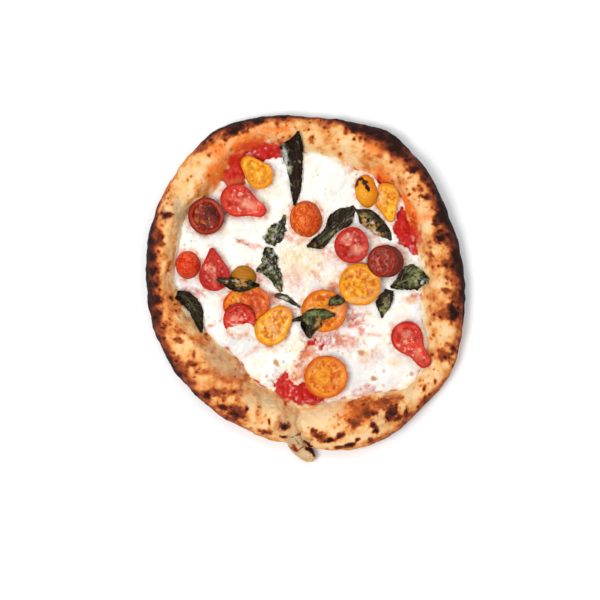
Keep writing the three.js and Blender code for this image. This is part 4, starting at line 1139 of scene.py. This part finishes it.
class PIZZA_OT_mozzarella(bpy.types.Operator):
    """Builds the melted mozzarella: a height over a disc grid that sinks away where the sauce is bare"""

    bl_idname = "pizza.mozzarella"
    bl_label = "Mozzarella"

    def execute(self, context):
        settings = context.scene.pizza_cheese
        points, quads, fan = layer_mesh(
            CHEESE_GRID, lambda d: around(RIM_INNER, d) + CHEESE_TUCK, cheese_level, SAUCE_TOP - CHEESE_DROP
        )
        x, y, z = points.T
        ragged = layered(points, 5, 3, 133)
        fine = layered(points, 3.2, 3, 139)
        creases = 1 - ease(0.02, 0.3, curd_height(flat(x, y)))
        valley = 1 - ease(0.5, 3.5, pool_edges(x, y) + 1.5 * ragged)
        tint = np.tile(settings.white, (len(points), 1))
        cream = np.maximum(painted(x, y, CREAM_STAINS, 0.5 * ragged, 0.6), 0.45 * valley)
        # Bluish patches: thinner mozzarella, and near the left rim painted shade.
        cool_and_shade = painted(x, y, COOL_AND_SHADED, 0.4 * ragged, 0.6)
        cream = cream * (1 - 0.8 * cool_and_shade)
        watery = 0.7 * ease(0.0, 0.6, layered(points, 24, 2, 137))
        tint = blend_to(tint, settings.cool_and_shade, np.maximum(0.6 * cool_and_shade, watery))
        fatty = 0.7 * cream + 0.38 * ragged * (1 - cool_and_shade) + 0.5 * creases * (0.3 + cream) - 0.1
        tint = blend_to(tint, settings.cream, fatty)
        thin = 1 - ease(0.1, 1.3, z - sauce_level(x, y) + 0.8 * ragged)
        stains = painted(x, y, PINK_STAINS, 0.6 * ragged, 0.6) * (0.6 + 0.6 * fine + 0.5 * creases)
        tint = blend_to(tint, settings.pink, np.maximum(0.95 * thin, 0.9 * stains))
        seep = np.zeros(len(points))
        for half in TOMATOES.values():
            beyond = (tomato_share(half, x, y) - 1) * min(half.size) / 2
            seep = np.maximum(seep, np.exp(-((beyond / 2.6) ** 2)))
        tint = blend_to(tint, settings.oily, seep * (0.35 + 0.6 * fine))
        oil = painted(x, y, OIL_STAINS, 0.6 * ragged, 0.6) * (0.8 + 0.5 * fine)
        tint = blend_to(tint, settings.oily, oil)
        streaks = painted(x, y, SAUCE_STREAKS, 0.4 * ragged + 0.5 * fine, 0.7) * (0.8 + 0.6 * fine)
        tint = blend_to(tint, settings.streaky, streaks)
        bare = 1 - ease(-0.3, 0.5, z - sauce_level(x, y) + 0.6 * ragged)
        tint = blend_to(tint, context.scene.pizza_sauce.red, 0.85 * bare)
        shreds = 1 - ease(0.03, 0.22, np.abs(layered(points, 7, 3, 143)))
        flecks = painted(x, y, SAUCE_FLECKS, 0.5 * ragged, 0.6) * shreds * ease(-0.2, 0.4, ragged)
        tint = blend_to(tint, context.scene.pizza_sauce.red, 0.9 * flecks)
        tint = blend_to(tint, settings.browned, painted(x, y, TOASTED, 0.5 * fine, 0.5))
        crumbs = dotted(x, y, CRUMBS, lambda rng: inside_rim(rng.uniform(), rng.uniform()))
        tint = blend_to(tint, settings.oily, crumbs * (0.05 + 0.65 * np.maximum(cream, stains)))
        herbs = dotted(x, y, HERBS, lambda rng: inside_rim(rng.uniform(), rng.uniform()))
        tint = blend_to(tint, settings.herb, 0.75 * herbs)
        material = tinted_material(
            "melted_mozzarella", vary=0.06, vary_scale=300, bump_scale=450, bump_depth=0.0003,
            Roughness=0.35, Specular_IOR_Level=0.35,
            Subsurface_Weight=0.12, Subsurface_Radius=(0.002, 0.0016, 0.0012), Subsurface_Scale=1.0,
        )
        new_piece(
            "mozzarella_melted", points, quads, fan, {"tint": tint}, material, "mozzarella"
        )
        return {"FINISHED"}


def tomato_shape(half):
    """A half as a ring stack in its own frame, each point's share of its outline, and whether it is face.

    A cut half is a bowl under a dished face that a shoulder may draw in. One with its skin up is a dome."""
    width = half.size[1]
    ox, oy = half_outline(half, TOMATO_SIDES)
    if half.face is SKIN:
        climb = np.linspace(0, np.pi / 2, TOMATO_ROWS["dome"])[:-1]
        below = np.linspace(0.4, 0.95, TOMATO_ROWS["foot"])
        share = np.concatenate([below, np.cos(climb)])
        level = np.concatenate([0 * below, SKIN_HEIGHT * width * np.sin(climb)])
        face = np.concatenate([0 * below, 1 + 0 * climb])
        long, wide, aside = share, share, 0 * share
    else:
        depth = CUT_DEPTH * width
        bowl = np.linspace(0, np.pi / 2, TOMATO_ROWS["bowl"])[1:]
        step = np.linspace(0, 1, TOMATO_ROWS["step"])[1:-1] if half.shoulder else np.zeros(0)
        inward = np.linspace(1, 0, TOMATO_ROWS["face"])[1:-1]
        face_long, face_wide, moved, rise = half.shoulder or (1, 1, 0, 0)
        dished = depth + rise - CUT_DISH * (1 - ease(0.8, 1, inward))
        share = np.concatenate([np.sin(bowl), 1 + 0 * step, inward])
        long = np.concatenate([np.sin(bowl), 1 + (face_long - 1) * step, face_long * inward])
        wide = np.concatenate([np.sin(bowl), 1 + (face_wide - 1) * step, face_wide * inward])
        aside = np.concatenate([0 * bowl, moved * step, moved + 0 * inward])
        level = np.concatenate([depth * (1 - np.cos(bowl)), depth + rise * np.sin(step * np.pi / 2), dished])
        face = np.concatenate([0 * bowl, 0 * step, 1 + 0 * inward])
    grid = np.stack([long[:, None] * ox + aside[:, None], wide[:, None] * oy, level[:, None] + 0 * ox], -1)
    points = np.concatenate([grid.reshape(-1, 3), [[0, 0, 0], [aside[-1], 0, level[-1]]]])
    shares = np.concatenate([np.repeat(share, TOMATO_SIDES), [0, 0]])
    faces = np.concatenate([np.repeat(face, TOMATO_SIDES), [0, 1]])
    return points, shares, faces, aside[-1], stack_faces(len(share), TOMATO_SIDES)


def cut_face(half, points, share, shift, seed, flesh, skin, pale, glint):
    """Colour and relief of a cut face: a skin line, a wall of flesh, seed chambers with gel, and a core."""
    rng = np.random.default_rng(seed)
    look = FACES[half.face]
    length, width = half.size
    x, y = points[:, 0] - shift, points[:, 1]
    wobble = layered(points, 6, 3, seed)
    turn = np.arctan2(y, x)
    if half.tip and half.tip < 0.6:
        bulb_at = (width - length) / 2
        apart = np.hypot((x - bulb_at) / (0.36 * width), (np.abs(y) - 0.2 * width) / (0.16 * width))
        gel = 1 - ease(0.7, 1.2, apart + 0.3 * wobble)
        middle = np.hypot((x - bulb_at) / (0.42 * width), y / (0.09 * width))
    else:
        count = int(rng.integers(3, 6))
        part = np.mod((turn - rng.uniform(0, 6)) / (2 * np.pi) * count, 1)
        septum = np.hypot(x, y) * np.abs(np.sin((0.5 - np.abs(part - 0.5)) * 2 * np.pi / count))
        gel = ease(0.6, 2.6, septum + 1.6 * wobble) * ease(0.2, 0.36, share + 0.1 * wobble)
        gel = gel * (1 - ease(0.66, 0.82, share + 0.08 * wobble))
        middle = share / 0.22
    seeds = np.zeros(len(points))
    for _ in range(SEED_COUNT):
        out, angle, lean = rng.uniform(0.25, 0.72), rng.uniform(0, 2 * np.pi), rng.uniform(0, 180)
        u, v = turned(x, y, (out * length / 2 * math.cos(angle), out * width / 2 * math.sin(angle)), lean)
        seeds = np.maximum(seeds, 1 - ease(0.3, 1.3, np.hypot(u / 1.5, v / 0.9) + 0.3 * wobble))
    seeds = seeds * gel
    spokes = np.stack([6 * np.cos(turn), 6 * np.sin(turn), 0.08 * np.hypot(x, y)], -1)
    streaks = layered(spokes, 1.6, 2, seed + 3)
    tone = grain(points, 13, seed + 17)
    light, deep = flesh * np.array([1.12, 1.45, 1.45]), (flesh * np.array([0.85, 0.65, 0.5]) + skin) / 2
    colour = np.tile(flesh, (len(points), 1)) * (1 + 0.3 * layered(points, 3.5, 3, seed + 7))[:, None]
    colour = blend_to(colour, light, 0.8 * ease(0.0, 0.6, tone))
    colour = blend_to(colour, deep, np.maximum(0.9 * ease(0.0, 0.6, -tone), 1.3 * look.gel * gel))
    colour = blend_to(colour, light, look.glow * (1 - ease(0.1, 0.75, share + 0.3 * wobble)))
    rays = ease(0.1, 0.5, streaks) * ease(0.1, 0.3, share) * (1 - ease(0.7, 0.9, share))
    core = look.core * np.maximum(1 - ease(0.5, 1.3, middle + 0.5 * wobble), 0.25 * ease(0.3, 0.8, wobble))
    colour = blend_to(colour, pale, np.maximum(np.maximum(core, look.rays * rays), look.seeds * seeds))
    folds = 1 - ease(0.02, 0.14, np.abs(layered(points + 2 * wobble[:, None], 7, 2, seed + 13)))
    colour = blend_to(colour, deep, 0.8 * folds * (1 - ease(0.7, 0.85, share)))
    inside = 1 - ease(0.66, 0.8, share + 0.08 * wobble)
    hollow = look.hollow * inside
    # Painted shade in the hollow: the cavity darkens to a dark skin colour, most towards +x.
    colour = blend_to(colour, skin * 0.45, hollow * (0.4 + 0.6 * ease(-0.3, 0.5, x / width + 0.4 * wobble)))
    lines = 1 - ease(0.05, 0.4, np.abs(np.sin(9 * share + 3 * wobble)))
    colour = blend_to(colour, 1.3 * flesh + 0.1, look.lines * lines * inside)
    pulp = layered(points, 2.2, 2, seed + 23) * (1 - ease(0.75, 0.9, share))
    colour = colour * (1 + pulp[:, None] * np.array([0.3, 0.62, 0.75]))
    # Painted highlights: wet glints where the pulp grain is high.
    colour = blend_to(colour, (glint + light) / 2, look.glints * ease(0.5, 0.85, pulp))
    colour = blend_to(colour, light, 0.4 * ease(0.74, 0.8, share) * (1 - ease(0.82, 0.88, share)))
    colour = blend_to(colour, skin, 0.9 * ease(0.84, 0.97, share + 0.03 * wobble))
    # A darker outline at the very edge: partly skin, partly painted shade.
    colour = blend_to(colour, skin * 0.55, ease(0.92, 1.0, share) * (0.5 + 0.9 * wobble))
    relief = -0.7 * gel * look.gel + 0.6 * seeds * look.seeds + 0.35 * layered(points, 3, 2, seed + 11)
    return colour, relief - 2.2 * hollow


def roasted_skin(half, points, share, seed, skin, light, crinkle):
    """Colour and relief of roasted skin: wrinkles with painted highlights and painted shade, painted light
    on one side.
    """
    warped = points * np.array([0.5, 1, 1]) + 2.2 * layered(points, 8, 2, seed + 3)[:, None]
    swelling = np.minimum(np.abs(layered(warped, 2.6, 3, seed)), 0.5)
    # Painted light: the skin is lighter towards +y, as if lit from that side.
    side = ease(-0.7, 0.7, 2 * points[:, 1] / half.size[1] + 0.5 * grain(points, 12, seed + 5))
    colour = blend_to(np.tile(skin * 0.93, (len(points), 1)), light, 0.75 * side)
    # Painted highlights on the wrinkle ridges, stronger on the lit side.
    ridges = crinkle * ease(0.2, 0.5, swelling) * (0.35 + 0.6 * side)
    colour = blend_to(colour, skin * np.array([1.3, 2.8, 4]), ridges)
    # Painted shade in the wrinkle valleys.
    valley_shade = crinkle * (1 - ease(0.0, 0.25, swelling))
    colour = blend_to(colour, skin * np.array([0.78, 0.5, 0.5]), valley_shade)
    # Painted shade towards the edge of the dome.
    colour = blend_to(colour, skin * 0.6, 0.8 * ease(0.8, 1.0, share))
    return colour, crinkle * 0.7 * (swelling - 0.25) * (1 - ease(0.8, 1, share))


def tilted(points, half):
    """Points of a half turned by its tilt about X and Y, then by its heading, and moved to its place."""
    tilt_x, tilt_y = (math.radians(t) for t in half.tilt)
    x, y, z = points.T
    y, z = y * math.cos(tilt_x) - z * math.sin(tilt_x), y * math.sin(tilt_x) + z * math.cos(tilt_x)
    x, z = x * math.cos(tilt_y) + z * math.sin(tilt_y), z * math.cos(tilt_y) - x * math.sin(tilt_y)
    x, y = turned(x, y, (0, 0), -half.heading)
    rise = half.size[1] / 2 * (1 - math.cos(max(abs(tilt_x), abs(tilt_y))))
    return np.stack([x + half.at[0], y + half.at[1], z + TOMATO_FOOT + rise], -1)


def make_room(points, uppers):
    """Sinks the parts of a half that halves lying on it cover."""
    x, y, z = points.T
    for upper in uppers:
        covered = 1 - ease(0.97, 1.03, tomato_share(upper, x, y))
        z = z * (1 - covered) + np.minimum(z, TOMATO_FOOT + 0.2) * covered
    return np.stack([x, y, z], -1)


class PIZZA_OT_tomatoes(bpy.types.Operator):
    """Builds the roasted tomato halves: ring stacks with seed chambers, cores, skins and wrinkles"""

    bl_idname = "pizza.tomatoes"
    bl_label = "Tomatoes"

    def execute(self, context):
        settings = context.scene.pizza_tomatoes
        material = tinted_material(
            "roasted_tomato", vary=0.2, vary_scale=600, bump_scale=600, bump_depth=0.0005,
            Roughness=0.2, Specular_IOR_Level=0.16,
            Subsurface_Weight=0.08, Subsurface_Radius=(0.004, 0.0010, 0.0004), Subsurface_Scale=1.0,
        )
        glint = np.asarray(settings.glint)
        halves = list(TOMATOES.values())
        for order, (node, half) in enumerate(TOMATOES.items()):
            seed = TOMATO_SEED + order
            points, share, face, shift, (quads, fans) = tomato_shape(half)
            skin = np.asarray(getattr(settings, half.kind + "_skin"))
            flesh = np.asarray(getattr(settings, half.kind)) if half.kind != "olive" else 1.12 * skin
            skin = skin + (flesh - skin) * max(0, -half.deep)
            flesh = flesh + (skin - flesh) * max(0, half.deep)
            skin = np.minimum(skin, flesh)
            pale = np.asarray(getattr(settings, half.kind + "_core", settings.core))
            if half.face is SKIN:
                crinkle = 1.0 if half.kind == "orange" else 0.2
                tint, relief = roasted_skin(half, points, share, seed, skin, flesh, crinkle)
            else:
                tint, relief = cut_face(half, points, share, shift, seed, flesh, skin, pale, glint)
                tint = np.where((face > 0)[:, None], tint, skin)
                relief = relief * (1 - ease(0.9, 1.0, share))
            points[:, 2] += relief * face
            risen = ease(0.2, 1, points[:, 2] / points[:, 2].max())
            points[:, 2] += 0.4 * layered(points, 14, 2, seed + 31) * risen
            points[:, :2] *= 1 + 0.025 * layered(points, 12, 2, seed + 37)[:, None]
            placed = make_room(tilted(points, half), halves[order + 1:])
            ragged = layered(placed, 3, 3, seed + 41)
            x, y, _ = placed.T
            # Pale cores and seeds, and painted highlights on the dark left half.
            pale_and_glints = painted(x, y, PALE_FLESH_AND_GLINTS, 0.6 * ragged, 0.6) * (half.face is not SKIN)
            tint = blend_to(tint, pale, pale_and_glints * face * (0.8 + 0.5 * ragged))
            shade = painted(x, y, DEEP_FLESH, 0.5 * ragged, 0.6)
            tint = blend_to(tint, skin * np.array([0.7, 0.5, 0.6]), shade * face * (0.75 + 0.6 * ragged))
            if half.kind == "orange":
                gold = painted(x, y, GOLD_FLESH, 0.5 * ragged, 0.6)
                tint = blend_to(tint, settings.yellow, gold * (share < 0.9) * (0.8 + 0.9 * ragged))
            singed = painted(x, y, SCORCHED, 0.5 * ragged, 0.9)
            tint = blend_to(tint, skin * np.array([0.5, 0.2, 0.5]), singed)
            tint = blend_to(tint, settings.scorch, painted(x, y, SCORCHED, 0.6 * ragged))
            new_piece(node + "_roasted", placed, quads, fans, {"tint": tint}, material, node)
        return {"FINISHED"}


def leaf_plan(leaf, u, v):
    """Places beside a leaf's midrib, v of the way to its left (1) or right (-1) edge.

    Gives x and y, the midrib's length and the distance aside from it."""
    fine = np.linspace(0, 1, MIDRIB_STEPS)
    mx, my = (spline([p[k] for p in leaf.midrib], fine) for k in (0, 1))
    run = np.concatenate([[0], np.cumsum(np.hypot(np.diff(mx), np.diff(my)))])
    share = run / run[-1]
    dx, dy = np.interp(u, share, np.gradient(mx, run)), np.interp(u, share, np.gradient(my, run))
    size = np.maximum(np.hypot(dx, dy), 1e-9)
    side = v * np.where(v > 0, spline(leaf.left, u), spline(leaf.right, u))
    x = np.interp(u, share, mx) - dy / size * side
    y = np.interp(u, share, my) + dx / size * side
    return x, y, run[-1], side


def draped(level, rounds=7):
    """A sheet laid over a level: hollows are bridged from side to side, and steps are smoothed."""
    for _ in range(rounds):
        level = np.maximum(level, (np.roll(level, 1, 1) + np.roll(level, -1, 1)) / 2)
        wide = np.pad(level, 1, mode="edge")
        level = (wide[:-2, 1:-1] + wide[2:, 1:-1] + wide[1:-1, :-2] + wide[1:-1, 2:] + 2 * level) / 6
    return level


def leaf_surface(leaf, seed, crumple, rows=130, columns=44):
    """A leaf blade: laid over what is under it, curled at its edges, crumpled, creased along its veins."""
    u, v = np.meshgrid(np.linspace(0, 1, rows), np.linspace(-1, 1, columns), indexing="ij")
    ragged = 1 + leaf.torn * layered(flat(u * 60, np.sign(v) * 50), 6, 3, seed)
    x, y, length, side = leaf_plan(leaf, u, v * ragged)
    plan = flat(u * length, side)
    folds = 1 - np.abs(layered(plan * np.array([1, 1.5, 1]), 9, 3, seed + 3))
    ridges = 1 - np.abs(layered(plan * np.array([0.6, 1.6, 1]), 5, 2, seed + 9))
    lift = leaf.curl * v * v if leaf.curl > 0 else -leaf.curl * (1 - v * v)
    vein_run = np.abs(np.mod(u * length / 6 - np.abs(side) / 7, 1) - 0.5) * 6
    veins = 0.7 * np.exp(-((vein_run / 0.45) ** 2)) * ease(0.5, 2, np.abs(side))
    veins = np.maximum(veins, np.exp(-((side / 0.55) ** 2)))
    ground = np.pad(support_level(x, y), 1, mode="edge")
    ground = np.maximum.reduce([ground[i:i + rows, j:j + columns] for i, j in np.ndindex(3, 3)])
    z = draped(ground) + 0.7 + 0.5 * lift + crumple * (folds - 0.5 + 0.3 * (ridges - 0.7)) - 0.35 * veins
    z = np.maximum(z, ground + 0.3)
    # The last value joins the veins with painted highlights along the fine ridges.
    return np.stack([x, y, z], -1), v, plan, folds, np.maximum(veins, 0.8 * ease(0.9, 1.0, ridges))


def leaf_tint(leaf, settings, milk_and_sheen, grid, v, plan, folds, veins, seed):
    """Colours of a blade: dark, green patches, veins, painted highlights and shade on folds, marks, and
    specks where torn.
    """
    x, y = grid[..., 0], grid[..., 1]
    tone = layered(plan, 6, 3, seed + 5)
    fine = layered(plan, 2.2, 2, seed + 7)
    tint = np.tile(settings.dark, v.shape + (1,))
    tint = blend_to(tint, settings.green, leaf.green * ease(-0.35, 0.35, tone + 0.4 * fine))
    # Paler veins, with painted highlights on the tops of the folds.
    shine = np.maximum(veins, ease(0.93, 1.0, folds) * ease(-0.2, 0.3, tone))
    tint = blend_to(tint, settings.pale, shine * (0.04 + 0.7 * leaf.green))
    edge = ease(0.7, 0.98, np.abs(v) + 0.15 * tone)
    # Darker edges, and painted shade in the hollows between folds.
    tint = blend_to(tint, settings.dark, 0.6 * edge + 0.8 * (1 - ease(0.3, 0.65, folds)))
    # Painted highlights: grey-green light on sharp crests.
    crest_highlights = ease(0.88, 1.0, 1 - np.abs(layered(plan * np.array([0.3, 1.1, 1]), 4, 2, seed + 13)))
    tint = blend_to(tint, settings.crest, 0.55 * crest_highlights * ease(-0.1, 0.5, tone + 0.5 * fine))
    patches = (
        (settings.pale, LEAF_PALE_AND_SHEEN), (settings.tan, LEAF_TAN), (milk_and_sheen, LEAF_MILK_AND_SHEEN), (settings.dark, LEAF_DARK),
    )
    # The pale and milky marks are partly painted highlights.
    for colour, marks in patches:
        tint = blend_to(tint, colour, painted(x, y, marks, 0.5 * tone, 0.6) * (0.75 + 1.5 * fine))
    # Torn leaves: light specks of painted glints in the crest colour, and dark specks.
    lace = ease(0.13, 0.3, leaf.torn) * layered(plan, 1.4, 2, seed + 23)
    tint = blend_to(tint, settings.crest, 0.6 * ease(0.25, 0.7, lace))
    return blend_to(tint, settings.dark, 0.65 * ease(0.2, 0.6, -lace))


class PIZZA_OT_basil(bpy.types.Operator):
    """Builds the wilted basil leaves: crumpled blades with a midrib and side veins"""

    bl_idname = "pizza.basil"
    bl_label = "Basil"

    def execute(self, context):
        settings = context.scene.pizza_basil
        milk_and_sheen = context.scene.pizza_cheese.cool_and_shade
        material = tinted_material(
            "wilted_basil", vary=0.4, vary_scale=900, bump_scale=700, bump_depth=0.0005,
            Roughness=0.35, Specular_IOR_Level=0.1,
        )
        for seed, (node, leaf) in enumerate(LEAVES.items(), LEAF_SEED):
            grid, v, plan, folds, veins = leaf_surface(leaf, seed, settings.crumple)
            rows, columns = v.shape
            normal = np.cross(np.gradient(grid, axis=0), np.gradient(grid, axis=1))
            normal /= np.maximum(np.linalg.norm(normal, axis=-1, keepdims=True), 1e-9)
            tint = leaf_tint(leaf, settings, milk_and_sheen, grid, v, plan, folds, veins, seed).reshape(-1, 3)
            lower = grid - normal * LEAF_THICK
            points = np.concatenate([grid.reshape(-1, 3), lower.reshape(-1, 3)])
            top = grid_faces(rows, columns)
            count = rows * columns
            line = grid_edge(rows, columns)
            after = np.roll(line, -1)
            wall = np.stack([line, line + count, after + count, after], -1)
            quads = np.concatenate([top, top[:, ::-1] + count, wall])
            # Painted shade: the underside is a darker copy of the top's colour.
            tints = np.concatenate([tint, tint * LEAF_UNDERSIDE_SHADE])
            new_piece(node + "_wilted", points, quads, None, {"tint": tints}, material, node)
        return {"FINISHED"}


class PIZZA_OT_stage(bpy.types.Operator):
    """Sets the pale floor, the softboxes and the camera straight above the disc"""

    bl_idname = "pizza.stage"
    bl_label = "Stage"

    def execute(self, context):
        settings = context.scene.pizza_stage
        scene = context.scene
        floor_mesh = bpy.data.meshes.new("floor")
        signs = ((-1, -1), (1, -1), (1, 1), (-1, 1))
        corners = [(across * FLOOR_REACH, along * FLOOR_REACH, 0) for across, along in signs]
        floor_mesh.from_pydata(corners, [], [(0, 1, 2, 3)])
        floor = bpy.data.objects.new("floor", floor_mesh)
        scene.collection.objects.link(floor)
        paint = Shader("pale_floor").finish(Base_Color=(*settings.floor, 1), Roughness=0.8)
        floor_mesh.materials.append(paint)
        world = bpy.data.worlds.new("soft_light")
        world.use_nodes = True
        background = world.node_tree.nodes["Background"]
        background.inputs["Color"].default_value = (1, 1, 1, 1)
        background.inputs["Strength"].default_value = settings.fill
        scene.world = world
        for name, (place, size, share) in SOFTBOXES.items():
            light = bpy.data.lights.new(name, "AREA")
            light.size = size
            light.energy = settings.key * share
            lamp = bpy.data.objects.new(name, light)
            lamp.location = place
            lamp.rotation_euler = (-Vector(place)).to_track_quat("-Z", "Y").to_euler()
            scene.collection.objects.link(lamp)
        camera = bpy.data.cameras.new("overhead")
        away = settings.distance - FRAMED_LEVEL
        camera.lens = camera.sensor_width * away / (PHOTO_WIDTH * PHOTO_PIXEL * MM)
        eye = bpy.data.objects.new("overhead", camera)
        middle = PHOTO_WIDTH / 2
        eye_x = (middle - PHOTO_DISC[0]) * PHOTO_PIXEL + DISC_CENTRE[0]
        eye_y = (PHOTO_DISC[1] - middle) * PHOTO_PIXEL + DISC_CENTRE[1]
        eye.location = (eye_x * MM, eye_y * MM, settings.distance)
        scene.collection.objects.link(eye)
        scene.camera = eye
        scene.view_settings.view_transform = "Standard"
        return {"FINISHED"}


OPERATORS = (
    PIZZA_OT_crust, PIZZA_OT_sauce, PIZZA_OT_mozzarella, PIZZA_OT_tomatoes, PIZZA_OT_basil, PIZZA_OT_stage,
)
SETTINGS = {
    "pizza_crust": PizzaCrustSettings,
    "pizza_sauce": PizzaSauceSettings,
    "pizza_cheese": PizzaCheeseSettings,
    "pizza_tomatoes": PizzaTomatoSettings,
    "pizza_basil": PizzaBasilSettings,
    "pizza_stage": PizzaStageSettings,
}


class PIZZA_PT_sidebar(bpy.types.Panel):
    """Lists the builders of the pizza's pieces and their settings"""

    bl_label = "Vegetable Pizza"
    bl_space_type = "VIEW_3D"
    bl_region_type = "UI"
    bl_category = "Pizza"

    def draw(self, context):
        for operator in OPERATORS:
            self.layout.operator(operator.bl_idname)
        for key, group in SETTINGS.items():
            box = self.layout.box()
            for name in group.__annotations__:
                box.prop(getattr(context.scene, key), name)


def register():
    """Adds the settings, the operators and the panel."""
    for key, group in SETTINGS.items():
        bpy.utils.register_class(group)
        setattr(bpy.types.Scene, key, bpy.props.PointerProperty(type=group))
    for operator in OPERATORS:
        bpy.utils.register_class(operator)
    bpy.utils.register_class(PIZZA_PT_sidebar)


def unregister():
    """Takes away the panel, the operators and the settings."""
    bpy.utils.unregister_class(PIZZA_PT_sidebar)
    for operator in OPERATORS:
        bpy.utils.unregister_class(operator)
    for key, group in SETTINGS.items():
        delattr(bpy.types.Scene, key)
        bpy.utils.unregister_class(group)


def main():
    """Builds each piece and the stage."""
    register()
    for operator in OPERATORS:
        group, name = operator.bl_idname.split(".")
        getattr(getattr(bpy.ops, group), name)()


if __name__ == "__main__":
    main()
